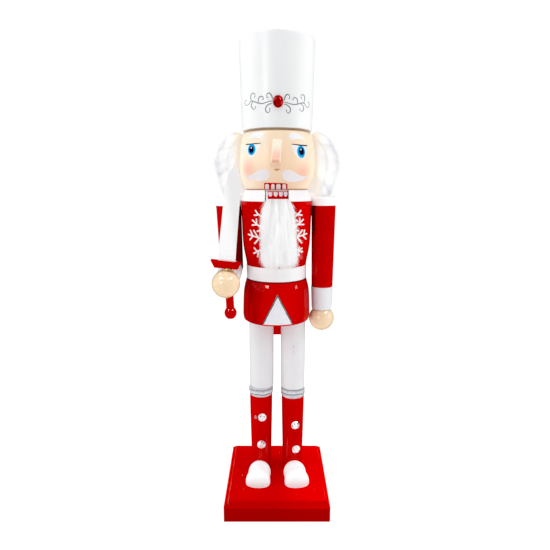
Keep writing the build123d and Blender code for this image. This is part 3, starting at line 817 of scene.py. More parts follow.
painted("pupil_right", [ellipse(-19.45, 297.6, 2.0, 2.8, -3)], "head", pupil_paint, thick=0.05, lift=0.14, step=0.3)
painted("pupil_left", [ellipse(18.4, 296.2, 2.15, 3.1, 8)], "head", pupil_paint, thick=0.05, lift=0.14, step=0.3)
painted("glint_right", [ellipse(-19.45, 298.9, 0.5, 0.7, -3, 20)], "head", eye_paint, thick=0.05, lift=0.19, step=0.2, edge=0.2)
painted("glint_left", [ellipse(17.85, 297.6, 0.5, 0.7, 8, 20)], "head", eye_paint, thick=0.05, lift=0.19, step=0.2, edge=0.2)
lid_r = ribbon(catmull([(-24.0, 301.95), (-20.3, 301.75), (-16.2, 301.9), (-12.1, 302.0)], False),
               list(np.concatenate([np.linspace(0.85, 0.72, 16), np.linspace(0.7, 0.35, 9)])))
lid_l = ribbon(catmull([(11.0, 301.15), (14.2, 300.95), (18.1, 300.75), (23.1, 300.9)], False),
               list(np.concatenate([np.linspace(0.5, 0.85, 12), np.linspace(0.88, 0.95, 13)])))
painted("eyelid_right", [lid_r], "head", black_paint, thick=0.07, lift=0.09, step=0.3, edge=0.25)
painted("eyelid_left", [lid_l], "head", black_paint, thick=0.07, lift=0.09, step=0.3, edge=0.25)

brow_r = [(-22.8, 305.8), (-21.7, 307.8), (-19.8, 309.6), (-17.4, 310.4), (-14.5, 310.5), (-11.6, 310.0), (-10.0, 308.9),
          (-9.5, 307.5), (-9.9, 306.3), (-11.1, 305.8), (-13.0, 305.6), (-15.0, 305.7), (-16.9, 306.0), (-19.0, 306.2),
          (-20.9, 306.0)]
brow_r2 = [(-12.6, 305.9), (-10.9, 305.9), (-9.9, 305.0), (-9.2, 302.9), (-8.7, 300.0), (-8.4, 297.2), (-8.35, 295.4),
           (-8.8, 297.4), (-9.5, 300.4), (-10.7, 303.2), (-12.0, 304.9)]
brow_l = [(9.5, 304.8), (8.6, 306.1), (8.5, 307.9), (9.5, 309.0), (11.5, 309.5), (14.2, 309.5), (16.8, 309.0), (19.1, 307.9),
          (21.0, 306.1), (22.1, 304.2), (20.2, 305.0), (18.1, 305.3), (15.6, 305.3), (13.2, 304.8), (10.9, 304.3)]
painted("eyebrow_right", [catmull(brow_r)], "head", white_paint, thick=0.12)
painted("eyebrow_right_tail", [catmull(brow_r2)], "head", white_paint, thick=0.06, edge=0.6)
painted("eyebrow_left", [catmull(brow_l)], "head", white_paint, thick=0.12)

mous_r = [(-27.3, 279.9), (-25.5, 279.0), (-23.1, 278.4), (-20.3, 278.8), (-17.5, 280.1), (-14.8, 281.6), (-12.2, 282.6),
          (-9.8, 282.9), (-7.7, 282.4), (-6.0, 281.2), (-5.3, 279.4), (-5.6, 277.4), (-6.8, 275.6), (-8.9, 274.6),
          (-11.8, 274.15), (-14.7, 274.15), (-17.7, 274.6), (-20.7, 275.6), (-23.5, 277.2), (-25.8, 278.7)]
mous_l = [(3.6, 279.2), (3.9, 280.8), (5.2, 281.9), (7.4, 282.35), (9.7, 282.1), (12.4, 281.1), (15.1, 279.6), (17.8, 278.5),
          (20.6, 277.9), (23.5, 278.4), (26.2, 279.8), (24.1, 277.5), (21.5, 275.8), (18.4, 274.4), (15.0, 273.6),
          (11.6, 273.4), (8.4, 273.7), (5.8, 274.8), (4.2, 276.5)]
painted("moustache_right", [catmull(mous_r)], "head", moustache_paint, thick=0.16, edge=0.7)
painted("moustache_left", [catmull(mous_l)], "head", moustache_paint, thick=0.16, edge=0.7)

mouth = [(-10.0, 268.0), (-10.1, 270.0), (-10.05, 272.0), (-9.7, 272.95), (-8.7, 273.15), (-4.0, 273.0), (-0.8, 272.9),
         (3.5, 272.75), (6.75, 272.6), (7.8, 272.2), (8.15, 271.3), (8.1, 269.5), (7.95, 268.0), (0.0, 267.95)]
painted("mouth_upper", [mouth], "head", mouth_paint, thick=0.07)
for i, (xa, xb) in enumerate(((-9.2, -6.1), (-4.65, -1.8), (-0.75, 2.78), (3.92, 6.9))):
    w_, xm, zt = xb - xa, (xa + xb) / 2, 272.2 - 0.02 * i
    loop = [(xa, 268.0), (xa, 271.1), (xa + 0.12 * w_, 271.75), (xa + 0.32 * w_, zt - 0.1), (xm, zt),
            (xb - 0.32 * w_, zt - 0.1), (xb - 0.12 * w_, 271.75), (xb, 271.1), (xb, 268.0)]
    painted(f"tooth_upper_{i + 1}", [loop], "head", tooth_paint, thick=0.09, lift=0.05, step=0.35, edge=0.3)
mouth_low = [(-7.1, 266.15), (8.15, 266.15), (8.15, 262.9), (8.1, 260.6), (0.0, 260.6), (-7.1, 260.6), (-7.1, 263.0)]
painted("mouth_lower", [mouth_low], "jaw_lever", mouth_paint, thick=0.06, turned=False, body="jaw")
for i, (xa, xb) in enumerate(((-6.75, -3.6), (-2.75, 0.5), (1.3, 4.5), (5.05, 7.9))):
    w_, xm = xb - xa, (xa + xb) / 2
    loop = [(xa, 266.05), (xa, 264.0), (xa + 0.06 * w_, 263.3), (xa + 0.22 * w_, 262.6), (xm, 262.35),
            (xb - 0.22 * w_, 262.6), (xb - 0.06 * w_, 263.3), (xb, 264.0), (xb, 266.05)]
    painted(f"tooth_lower_{i + 1}", [loop], "jaw_lever", tooth_low_paint, thick=0.09, lift=0.05, step=0.35, edge=0.3,
            turned=False, body="jaw")

# ------------------------------------------------------------------ nose
def nose_piece():
    """A sawn wedge with its two long front edges planed off; it leans a little."""
    half, cut = 3.6, 0.85
    side = [(-25.6, 303.9), (-28.1, 303.9), (-41.6, 287.6), (-41.4, 286.0), (-29.0, 283.0), (-25.6, 283.0)]
    sink = [0.0, 0.0, 0.75, 0.75, 0.0, 0.0]           # how deep the planed edge is, measured back from the front
    lean = Matrix.Rotation(math.radians(4.9), 4, "Y")
    verts, faces, which = [], [], []

    def put(x, y, z):
        p = lean @ Vector((x, 0, z - 294.5))
        verts.append(((p.x - 0.45) * MM, (AY + y) * MM, (p.z + 295.5) * MM))
        return len(verts) - 1
    # front strip: top, brow of the slope, tip, lower tip, root
    rows = []
    n = 22
    a_, b_ = side[1], side[2]
    for i in range(n + 1):
        t = i / n
        y, z = a_[0] + (b_[0] - a_[0]) * t, a_[1] + (b_[1] - a_[1]) * t
        c = cut * min(1.0, 0.35 + t * 2.5)
        k = 0.75 * min(1.0, 0.35 + t * 2.5)
        nrm = (-0.754, 0.657)                          # outward from the slope, in (y, z)
        rows.append((c, (y, z), (y - nrm[0] * k, z - nrm[1] * k), "f"))
    rows.append((cut, side[3], (side[3][0] + 0.72, side[3][1] + 0.1), "f"))
    rows.append((cut * 0.6, side[4], (side[4][0] + 0.3, side[4][1] + 0.4), "u"))
    grid = []
    for c, f, e, tag in rows:
        grid.append([put(-half, *e), put(-half + c, *f), put(half - c, *f), put(half, *e)])
    for i in range(len(rows) - 1):
        tag = rows[i + 1][3]
        for j in range(3):
            faces.append((grid[i][j], grid[i][j + 1], grid[i + 1][j + 1], grid[i + 1][j])[::-1])
            which.append(2 if tag == "u" else (0 if j == 1 else 1))
    tl, tr = put(-half, *side[0]), put(half, *side[0])
    bl, br = put(-half, *side[5]), put(half, *side[5])
    faces.append((grid[0][0], grid[0][1], grid[0][2], grid[0][3], tr, tl)); which.append(0)
    last = grid[-1]
    faces.append((last[0], bl, br, last[3], last[2], last[1])); which.append(2)
    faces.append((tl, bl) + tuple(g[0] for g in grid[::-1])); which.append(0)
    faces.append((br, tr) + tuple(g[3] for g in grid)); which.append(0)
    faces.append((tl, tr, br, bl)); which.append(0)
    me = bpy.data.meshes.new("nose_wedge")
    me.from_pydata(verts, [], faces)
    for m in (flesh_nose, flesh_edge, flesh_under):
        me.materials.append(m)
    me.polygons.foreach_set("material_index", which)
    bm = bmesh.new()
    bm.from_mesh(me)
    bmesh.ops.recalc_face_normals(bm, faces=bm.faces)
    bm.to_mesh(me)
    bm.free()
    ob = bpy.data.objects.new("nose_wedge", me)
    scene.collection.objects.link(ob)
    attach(ob, "figure")
    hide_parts("nose")
    return ob


nose_piece()
painted("nose_shade", [catmull([(-3.9, 282.8), (-1.4, 283.2), (1.0, 283.2), (3.4, 282.7), (1.8, 282.2), (0.3, 281.5), (-0.4, 281.3),
                                (-1.2, 281.7), (-2.5, 282.3)])], "head", flesh_shade, thick=0.03, step=0.3)


def torso_r(z):
    return float(np.interp(z, [209.0, 213.8, 220.0, 226.5, 239.0, 250.0, 258.0, 259.0, 267.7],
                           [25.2, 26.1, 27.25, 27.95, 28.45, 28.85, 28.98, 29.1, 25.8]))


def slot_shadow_sheet(name, x, out):
    """A black sheet on one side wall of the slot that the jaw lever swings in: painted shadow of the slot's depth."""
    zs = np.linspace(219.0, 267.2, 26)
    ring = []
    for z in zs:
        ring.append((AY - math.sqrt(torso_r(z) ** 2 - (x + 0.4) ** 2) + 0.12, z))
    ring += [(AY - 4.0, 267.2), (AY - 4.0, 219.0)]
    n = len(ring)
    verts = [(x * MM, y * MM, z * MM) for y, z in ring] + [((x + out) * MM, y * MM, z * MM) for y, z in ring]
    faces = [tuple(range(n)), tuple(range(2 * n - 1, n - 1, -1))]
    faces += [(i, (i + 1) % n, n + (i + 1) % n, n + i) for i in range(n)]
    ob = add_mesh(name, verts, faces, black_paint, "figure", False)
    bm = bmesh.new()
    bm.from_mesh(ob.data)
    bmesh.ops.recalc_face_normals(bm, faces=bm.faces)
    bm.to_mesh(ob.data)
    bm.free()
    return ob


slot_shadow_sheet("slot_shadow_right", -9.4, 0.12)
slot_shadow_sheet("slot_shadow_left", 8.8, -0.12)


def joint_shadow_ring(name, cx, r, z, thick, mat, n=96, m=8):
    """A thin dark ring lying in the joint between two turned parts: painted shadow of the gap."""
    verts, faces = [], []
    for i in range(n):
        a_ = 2 * math.pi * i / n
        for j in range(m):
            q = 2 * math.pi * j / m
            rr = r + thick * math.cos(q)
            verts.append(((cx + rr * math.cos(a_)) * MM, (AY + rr * math.sin(a_)) * MM, (z + thick * math.sin(q)) * MM))
    for i in range(n):
        for j in range(m):
            i2, j2 = (i + 1) % n, (j + 1) % m
            faces.append((i * m + j, i2 * m + j, i2 * m + j2, i * m + j2))
    return add_mesh(name, verts, faces, mat, "figure")


joint_shadow_ring("belt_lower_joint_shadow", -0.4, 25.02, 194.95, 0.22, joint_shadow_dark)
joint_shadow_ring("hat_joint_shadow", 0.0, 26.4, 311.8, 0.12, joint_shadow_brown)

# ------------------------------------------------- scrollwork on the hat
scrolls = {
    "a": [(-3.3, 332.4), (-3.6, 333.9), (-4.2, 335.4), (-5.2, 336.6), (-6.3, 337.1), (-7.3, 336.7), (-7.8, 335.6), (-7.7, 334.5),
          (-7.1, 334.0)],
    "b": [(-3.3, 331.4), (-5.3, 331.4), (-7.6, 330.9), (-9.9, 330.3), (-11.7, 330.15), (-13.9, 330.7), (-16.0, 331.6),
          (-17.9, 332.55), (-19.3, 332.75), (-20.4, 332.0), (-21.4, 330.9), (-22.8, 330.4), (-24.0, 331.1), (-24.5, 332.4),
          (-24.3, 333.6), (-23.5, 334.0)],
    "c": [(-13.9, 330.9), (-13.95, 332.3), (-13.7, 333.8), (-12.9, 334.9), (-11.7, 335.25), (-10.6, 334.7), (-10.1, 333.6),
          (-10.5, 333.0)],
    "d": [(-19.1, 332.9), (-19.7, 334.4), (-19.8, 336.0), (-19.3, 337.4), (-18.1, 338.1), (-16.9, 337.6), (-16.4, 336.3),
          (-16.7, 335.3)],
    "e": [(-17.6, 332.4), (-18.8, 331.4), (-19.3, 329.8), (-18.7, 327.8), (-17.4, 326.7), (-16.3, 327.3), (-16.1, 328.4)],
    "f": [(-3.6, 329.7), (-5.3, 329.6), (-6.9, 329.0), (-8.1, 327.6), (-8.6, 325.9), (-8.1, 324.3), (-7.1, 323.6), (-6.0, 323.9),
          (-5.4, 325.0), (-5.5, 326.2)],
    "g": [(5.2, 331.9), (5.5, 333.5), (6.1, 335.0), (6.9, 335.95), (7.8, 336.2), (8.8, 335.8), (9.2, 334.7), (9.0, 333.6)],
    "h": [(4.8, 330.6), (6.9, 330.55), (9.0, 330.0), (11.3, 329.6), (13.7, 329.7), (16.0, 330.4), (18.2, 331.2), (19.8, 331.5),
          (20.9, 330.8), (21.8, 329.5), (23.0, 328.9), (24.1, 329.8), (24.5, 331.3), (24.3, 332.4), (23.7, 332.8)],
    "i": [(15.1, 330.2), (15.15, 331.8), (14.8, 333.3), (13.9, 334.2), (12.7, 334.4), (11.8, 333.8), (11.7, 332.9)],
    "j": [(19.9, 331.6), (20.5, 333.4), (20.7, 335.2), (20.2, 336.7), (19.1, 337.3), (18.0, 336.6), (17.7, 335.3), (18.1, 334.5)],
    "k": [(17.7, 330.7), (19.2, 329.7), (19.9, 328.2), (19.5, 326.3), (18.4, 325.4), (17.3, 325.8), (16.9, 326.8)],
    "l": [(4.9, 329.3), (6.7, 329.1), (8.3, 328.2), (9.5, 327.0), (9.8, 325.3), (9.2, 323.8), (8.1, 323.2), (7.1, 323.9),
          (6.8, 325.2)],
}
loops_r, loops_l = [], []
for key, pts in scrolls.items():
    path = evenly(catmull(pts, False, 6), 0.35, False)
    n = len(path)
    w0 = 0.86
    widths = [w0 * (0.60 + 0.40 * math.sin(math.pi * min(i / (n - 1) * 1.15, 1.0))) for i in range(n)]
    group = loops_r if pts[0][0] < 0 else loops_l
    group.append(ribbon(path, widths))
    group.append(ellipse(path[-1][0], path[-1][1], 0.52, 0.52, 0, 14))
painted("hat_scrollwork_right", loops_r, "hat", scroll_mat, thick=0.10, step=0.24, edge=0.22)
painted("hat_scrollwork_left", loops_l, "hat", scroll_mat, thick=0.10, step=0.24, edge=0.22)

# ------------------------------------------- snowflakes, painted on the chest
snow_r = [((-16.7, 251.9), (-15.2, 249.6)), ((-15.2, 249.6), (-12.2, 247.4)), ((-17.6, 248.2), (-14.4, 248.6)),
          ((-19.2, 244.4), (-17.1, 242.3)), ((-16.1, 245.2), (-15.9, 242.1)), ((-19.5, 240.4), (-15.5, 240.9)),
          ((-17.1, 242.3), (-12.0, 238.5)), ((-15.5, 235.8), (-11.7, 237.1)), ((-15.5, 240.9), (-13.6, 240.0)),
          ((-21.0, 236.0), (-19.4, 232.4)), ((-22.7, 232.7), (-19.1, 231.9)), ((-21.5, 228.6), (-19.0, 231.8)),
          ((-19.1, 232.1), (-14.5, 230.6)), ((-18.3, 236.3), (-15.2, 231.7)), ((-17.6, 226.0), (-14.0, 230.3)),
          ((-15.2, 231.3), (-11.7, 229.9)), ((-17.9, 222.3), (-15.9, 219.9)), ((-18.4, 217.9), (-15.7, 219.6)),
          ((-15.4, 215.4), (-14.6, 219.7)), ((-15.7, 219.9), (-12.1, 221.2)), ((-13.2, 225.1), (-11.8, 224.6))]
snow_l = [((18.5, 251.7), (16.4, 249.0)), ((16.3, 248.6), (19.5, 248.1)), ((16.4, 249.0), (14.0, 247.4)),
          ((20.7, 244.6), (18.6, 242.7)), ((17.6, 245.6), (18.0, 242.3)), ((21.1, 240.6), (17.3, 241.2)),
          ((18.6, 242.7), (15.1, 240.7)), ((17.3, 241.1), (14.4, 240.0)), ((15.1, 244.6), (16.3, 243.3)),
          ((21.9, 236.1), (21.3, 232.8)), ((23.9, 233.0), (20.4, 232.3)), ((23.3, 228.8), (20.6, 231.9)),
          ((20.1, 236.3), (16.5, 232.2)), ((20.6, 232.3), (15.7, 231.3)), ((19.5, 226.1), (16.5, 230.4)),
          ((15.2, 236.4), (16.7, 236.1)), ((17.6, 223.3), (16.8, 220.8)), ((20.0, 221.8), (17.0, 220.4)),
          ((20.5, 218.6), (17.0, 220.2)), ((17.7, 216.0), (16.8, 220.3)), ((16.8, 220.4), (14.2, 221.3)),
          ((12.9, 212.9), (14.7, 212.7)), ((14.1, 214.1), (14.0, 212.3))]
painted("snowflakes_right", [capsule(a, b, 1.35) for a, b in snow_r], "torso", white_paint, thick=0.10, step=0.33, edge=0.3)
painted("snowflakes_left", [capsule(a, b, 1.35) for a, b in snow_l], "torso", white_paint, thick=0.10, step=0.33, edge=0.3)

# --------------------------------------------------- coat opening on the skirt
tri_out = [(0.45, 186.6), (13.6, 160.7), (-12.4, 160.7)]
tri_in = [(0.45, 184.4), (12.4, 160.7), (-11.2, 160.7)]
painted("coat_opening_edge", [tri_out], "coat_skirt", outline, thick=0.08, step=0.6, edge=0.25)
painted("coat_opening", [tri_in], "coat_skirt", opening_paint, thick=0.07, lift=0.06, step=0.6, edge=0.3)


# ------------------------------------------------------------------ stones
def brilliant(name, places, mat, tones, seed, replaces):
    """Round or oval faceted stones: table, stars, kites, upper girdle facets, and a straight wall down to the surface."""
    rnd = random.Random(seed)
    verts, faces, tone = [], [], []

    def add(fs, pts):
        base_i = len(verts)
        verts.extend(pts)
        faces.append(tuple(base_i + i for i in range(len(pts))))
        tone.append(rnd.choice(tones))

    for origin, u, v, n, ru, rv, height, foot in places:
        def at(r, ang, h):
            return origin + u * (ru * r * math.cos(ang)) * MM + v * (rv * r * math.sin(ang)) * MM + n * h * MM
        k = 8
        th, mh, gh, gl = height, height * 0.74, height * 0.5, height * 0.40
        T = [at(0.56, 2 * math.pi * (i + 0.5) / k, th) for i in range(k)]
        Mm = [at(0.80, 2 * math.pi * i / k, mh) for i in range(k)]
        G = [at(1.0, 2 * math.pi * i / (2 * k), gh) for i in range(2 * k)]
        L = [at(1.0, 2 * math.pi * i / (2 * k), gl) for i in range(2 * k)]
        B = [at(0.9, 2 * math.pi * i / (2 * k), foot) for i in range(2 * k)]
        add(faces, T)
        for i in range(k):
            j = (i + 1) % k
            add(faces, [T[(i - 1) % k], Mm[i], T[i]])
            add(faces, [T[i], Mm[i], G[2 * i + 1], Mm[j]])
            add(faces, [Mm[i], G[2 * i], G[2 * i + 1]])
            add(faces, [Mm[i], G[(2 * i - 1) % (2 * k)], G[2 * i]])
        for i in range(2 * k):
            j = (i + 1) % (2 * k)
            add(faces, [G[j], G[i], L[i], L[j]])
            add(faces, [L[j], L[i], B[i], B[j]])
        add(faces, B[::-1])
    me = bpy.data.meshes.new(name)
    me.from_pydata([tuple(p) for p in verts], [], faces)
    col = me.color_attributes.new("facet", "FLOAT_COLOR", "CORNER")
    for poly, t in zip(me.polygons, tone):
        for li in poly.loop_indices:
            col.data[li].color = (*t, 1.0)
    bm = bmesh.new()
    bm.from_mesh(me)
    bmesh.ops.remove_doubles(bm, verts=bm.verts, dist=1e-7)
    bmesh.ops.recalc_face_normals(bm, faces=bm.faces)
    bm.to_mesh(me)
    bm.free()
    me.materials.append(mat)
    ob = bpy.data.objects.new(name, me)
    scene.collection.objects.link(ob)
    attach(ob, "figure")
    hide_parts(replaces)
    return ob


places = []
for side, angle, z in ((-1, 6.3, 70.5), (-1, 1.3, 44.1), (1, 12.0, 62.9), (1, 17.8, 39.1)):
    a = math.radians(angle)
    out_ = Vector((math.sin(a), -math.cos(a), 0))
    u_ = Vector((math.cos(a), math.sin(a), 0))
    here = 9.0 + (z - 17.2) / 70.6 * 0.95
    origin = Vector(((14.3 if side > 0 else -14.0) * MM, AY * MM, z * MM)) + out_ * (here - 0.9) * MM
    roll = math.radians(17 * (side + 2) + z)
    v_ = Vector((0, 0, 1))
    u2 = u_ * math.cos(roll) + v_ * math.sin(roll)
    v2 = v_ * math.cos(roll) - u_ * math.sin(roll)
    places.append((origin, u2, v2, out_, 3.7, 3.7, 3.3, 0.15))
# painted reflections: one tone per facet, some dark, a few pink as if mirroring the red boots
clear_facet_reflections = [(0.98, 0.98, 1.0), (0.92, 0.93, 0.95), (0.97, 0.93, 0.94), (0.70, 0.71, 0.75), (0.95, 0.95, 0.97), (0.9, 0.62, 0.63),
        (0.99, 0.99, 0.99), (0.22, 0.23, 0.26), (0.96, 0.97, 1.0), (0.85, 0.86, 0.9)]
brilliant("boot_stones", places, clear_stone, clear_facet_reflections, 5, "boot_studs")
red_facet_reflections = [(0.62, 0.0, 0.004), (0.42, 0.0, 0.002), (0.75, 0.004, 0.008), (0.20, 0.0, 0.002), (0.50, 0.0, 0.004), (0.85, 0.02, 0.03),
        (0.30, 0.0, 0.002)]
brilliant("hat_stone", [(Vector((0.7 * MM, (AY - 28.0) * MM, 331.0 * MM)), Vector((1, 0, 0)), Vector((0, 0, 1)),
                         Vector((0, -1, 0)), 3.85, 4.45, 3.2, 0.15)], red_stone, red_facet_reflections, 8, "hat_gem")

# --------------------------------------------------------------- glue
gy = AY - 44.0
blob("glue_sword_top", (-37.6, gy - 1.6, 209.3), (3.3, 2.6, 1.2), glue, 3)
blob("glue_sword_top_small", (-34.2, gy - 2.6, 208.6), (1.7, 1.3, 0.8), glue, 11)
blob("glue_sword_below", (-38.0, gy - 2.4, 188.0), (1.3, 1.1, 0.9), glue, 7)
a = math.radians(-28)
blob("glue_boot_smear", (-14.0 + 9.6 * math.sin(a), AY - 9.6 * math.cos(a), 69.9), (1.5, 0.55, 1.9), smear, 9, rough=0.5)


# --------------------------------------------------------------------- fur
def strands(name, roots, dirs, lengths, sag, radius, mat, body, seed, parts=4, clump=0.45, per_clump=14,
            bow=None, share=0.65, tone=None):
    """Hairs as thin closed tapering prisms. roots, dirs, sag in mm; sag bends each hair towards it, bow bows its middle."""
    rng = np.random.default_rng(seed)
    n = len(roots)
    d = dirs / np.linalg.norm(dirs, axis=1, keepdims=True)
    nc = max(n // per_clump, 1)
    centres = rng.choice(n, nc, replace=False)
    near = np.empty(n, int)
    for s in range(0, n, 2000):
        dist = ((roots[s:s + 2000, None, :] - roots[None, centres, :]) ** 2).sum(-1)
        near[s:s + 2000] = centres[np.argmin(dist, 1)]
    pull = clump * rng.uniform(0.2, 1.0, n)[:, None]
    rings, rads = [], []
    for k in range(parts + 1):
        t = k / parts
        p = roots + d * (lengths[:, None] * t) + sag * t * t
        if bow is not None:
            p = p + bow * math.sin(math.pi * t)
        rings.append(p)
        rads.append(radius * (1.0 - t) ** 0.6)
    base_ring = [p.copy() for p in rings]
    for k in range(parts + 1):
        t = k / parts
        rings[k] = base_ring[k] + (base_ring[k][near] - base_ring[k]) * pull * t ** 1.5
    R = np.stack(rings, 1)                                  # n, parts+1, 3
    tan = np.gradient(R, axis=1)
    tan /= np.linalg.norm(tan, axis=2, keepdims=True) + 1e-12
    ref = np.tile(np.array([0.31, 0.52, 0.79]), (n, 1))[:, None, :]
    u = np.cross(tan, ref)
    u /= np.linalg.norm(u, axis=2, keepdims=True) + 1e-12
    v = np.cross(tan, u)
    rad = np.stack(rads, 1) if isinstance(rads[0], np.ndarray) else np.tile(np.array(rads), (n, 1))
    spin = rng.uniform(0, 2 * np.pi, n)
    verts = []
    for j in range(3):
        ang = spin[:, None] + j * 2 * np.pi / 3
        off = (u * np.cos(ang)[..., None] + v * np.sin(ang)[..., None]) * rad[..., None]
        verts.append(R + off)
    V = np.stack(verts, 2)[:, :parts]                       # n, parts, 3, 3
    tip = R[:, -1:]                                          # n, 1, 3
    V = np.concatenate([V.reshape(n, parts * 3, 3), tip], 1)
    m = parts * 3 + 1
    quads, tris = [], []
    for k in range(parts - 1):
        for j in range(3):
            a_, b_ = k * 3 + j, k * 3 + (j + 1) % 3
            quads.append((a_, b_, b_ + 3, a_ + 3))
    last = (parts - 1) * 3
    for j in range(3):
        tris.append((last + j, last + (j + 1) % 3, m - 1))
    tris.append((2, 1, 0))
    base_ix = (np.arange(n) * m)[:, None, None]
    Q = (np.array(quads)[None] + base_ix).reshape(-1, 4)
    T = (np.array(tris)[None] + base_ix).reshape(-1, 3)
    nq, ntri = len(Q), len(T)
    me = bpy.data.meshes.new(name)
    me.vertices.add(n * m)
    me.vertices.foreach_set("co", (V.reshape(-1) * MM).astype(np.float32))
    me.loops.add(nq * 4 + ntri * 3)
    me.loops.foreach_set("vertex_index", np.concatenate([Q.reshape(-1), T.reshape(-1)]).astype(np.int32))
    me.polygons.add(nq + ntri)
    starts = np.concatenate([np.arange(nq) * 4, nq * 4 + np.arange(ntri) * 3]).astype(np.int32)
    totals = np.concatenate([np.full(nq, 4), np.full(ntri, 3)]).astype(np.int32)
    me.polygons.foreach_set("loop_start", starts)
    me.polygons.foreach_set("loop_total", totals)
    me.update()
    me.validate()
    me.polygons.foreach_set("use_smooth", [True] * len(me.polygons))
    att = me.color_attributes.new("strand", "FLOAT_COLOR", "POINT")
    along = np.concatenate([np.repeat(np.arange(parts) / parts, 3), [1.0]])
    col = np.zeros((n, m, 4), np.float32)
    col[..., 0] = along[None]
    own = share * rng.uniform(0, 1, n)[near] + (1 - share) * rng.uniform(0, 1, n)
    if tone is not None:
        own = 0.72 * tone + 0.28 * rng.uniform(0, 1, n)
    col[..., 1] = own[:, None]
    col[..., 3] = 1.0
    att.data.foreach_set("color", col.reshape(-1))
    me.materials.append(mat)
    ob = bpy.data.objects.new(name, me)
    scene.collection.objects.link(ob)
    if body:
        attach(ob, body)
    return ob


def lathe_arc(name, prof, a0, a1, mat, wob, seed, replaces=None, n=72, body="figure"):
    """A closed solid turned through part of a circle about the figure's axis; its outside is uneven."""
    rng = random.Random(seed)
    waves = [(rng.uniform(2, 9), rng.uniform(0.05, 0.35), rng.uniform(0, 6.28)) for _ in range(8)]
    verts, faces = [], []
    m = len(prof)
    for i in range(n + 1):
        a_ = math.radians(a0 + (a1 - a0) * i / n)
        endf = min(i, n - i) / n
        squeeze = min(1.0, (endf * 14) ** 0.5) if endf > 0 else 0.0
        for r, z, k in prof:
            mid = 34.0
            wv = sum(math.sin(f * a_ + g * z + ph) for f, g, ph in waves) / 8 * wob * k
            rr = r + wv
            if k > 0:
                rr = mid + (rr - mid) * (0.35 + 0.65 * squeeze) if rr > mid else rr
            verts.append((rr * math.cos(a_) * MM, (AY + rr * math.sin(a_)) * MM, z * MM))
    for i in range(n):
        for j in range(m):
            a_, b_ = i * m + j, i * m + (j + 1) % m
            faces.append((a_, b_, b_ + m, a_ + m))
    faces.append(tuple(range(m))[::-1])
    faces.append(tuple(n * m + j for j in range(m)))
    ob = add_mesh(name, verts, faces, mat, body, True)
    bm = bmesh.new()
    bm.from_mesh(ob.data)
    bmesh.ops.recalc_face_normals(bm, faces=bm.faces)
    bm.to_mesh(ob.data)
    bm.free()
    if replaces:
        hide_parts(replaces)
    return ob


hair_prof = [(30.7, 265.2, 0), (30.1, 279.6, 0), (30.65, 287.0, 0), (30.4, 292.0, 0), (29.65, 299.0, 0), (28.45, 306.7, 0),
             (27.9, 310.2, 0), (30.0, 309.8, 1), (33.6, 306.2, 1), (37.2, 301.8, 1), (39.6, 296.4, 1), (40.8, 290.6, 1),
             (40.8, 285.0, 1), (39.9, 279.0, 1), (38.4, 273.0, 1), (36.8, 268.0, 1), (34.4, 265.0, 1)]
lathe_arc("hair_underfur", hair_prof, 8.0, 172.0, hair_felt, 0.8, 4, "hair")

outer_z = np.array([260.0, 262.0, 264.5, 268.0, 274.0, 280.5, 287.5, 293.5, 299.5, 304.8, 308.6, 311.2, 313.4])
outer_r = np.array([42.0, 43.6, 44.6, 45.6, 47.4, 49.6, 50.8, 50.2, 47.8, 44.2, 40.6, 36.8, 32.6])
under = np.array([(r, z) for r, z, k in hair_prof if k > 0 or (r, z) == (27.9, 310.2)])
seg = np.hypot(*np.diff(under, axis=0).T)
cum = np.concatenate([[0], np.cumsum(seg)])


LOCKS = np.random.default_rng(77).uniform(0, 1, (120, 9))


def coat_of(fine, coarse, step):
    """Tone that changes quickly across the lie of the fur and slowly along it."""
    u = np.clip(fine / step, 0, 117.999)
    v = np.clip(coarse, 0, 7.999)
    i, j = u.astype(int), v.astype(int)
    fu, fv = u - i, v - j
    top = LOCKS[i, j] * (1 - fu) + LOCKS[i + 1, j] * fu
    low = LOCKS[i, j + 1] * (1 - fu) + LOCKS[i + 1, j + 1] * fu
    return np.clip((top * (1 - fv) + low * fv - 0.5) * 1.4 + 0.5, 0, 1)


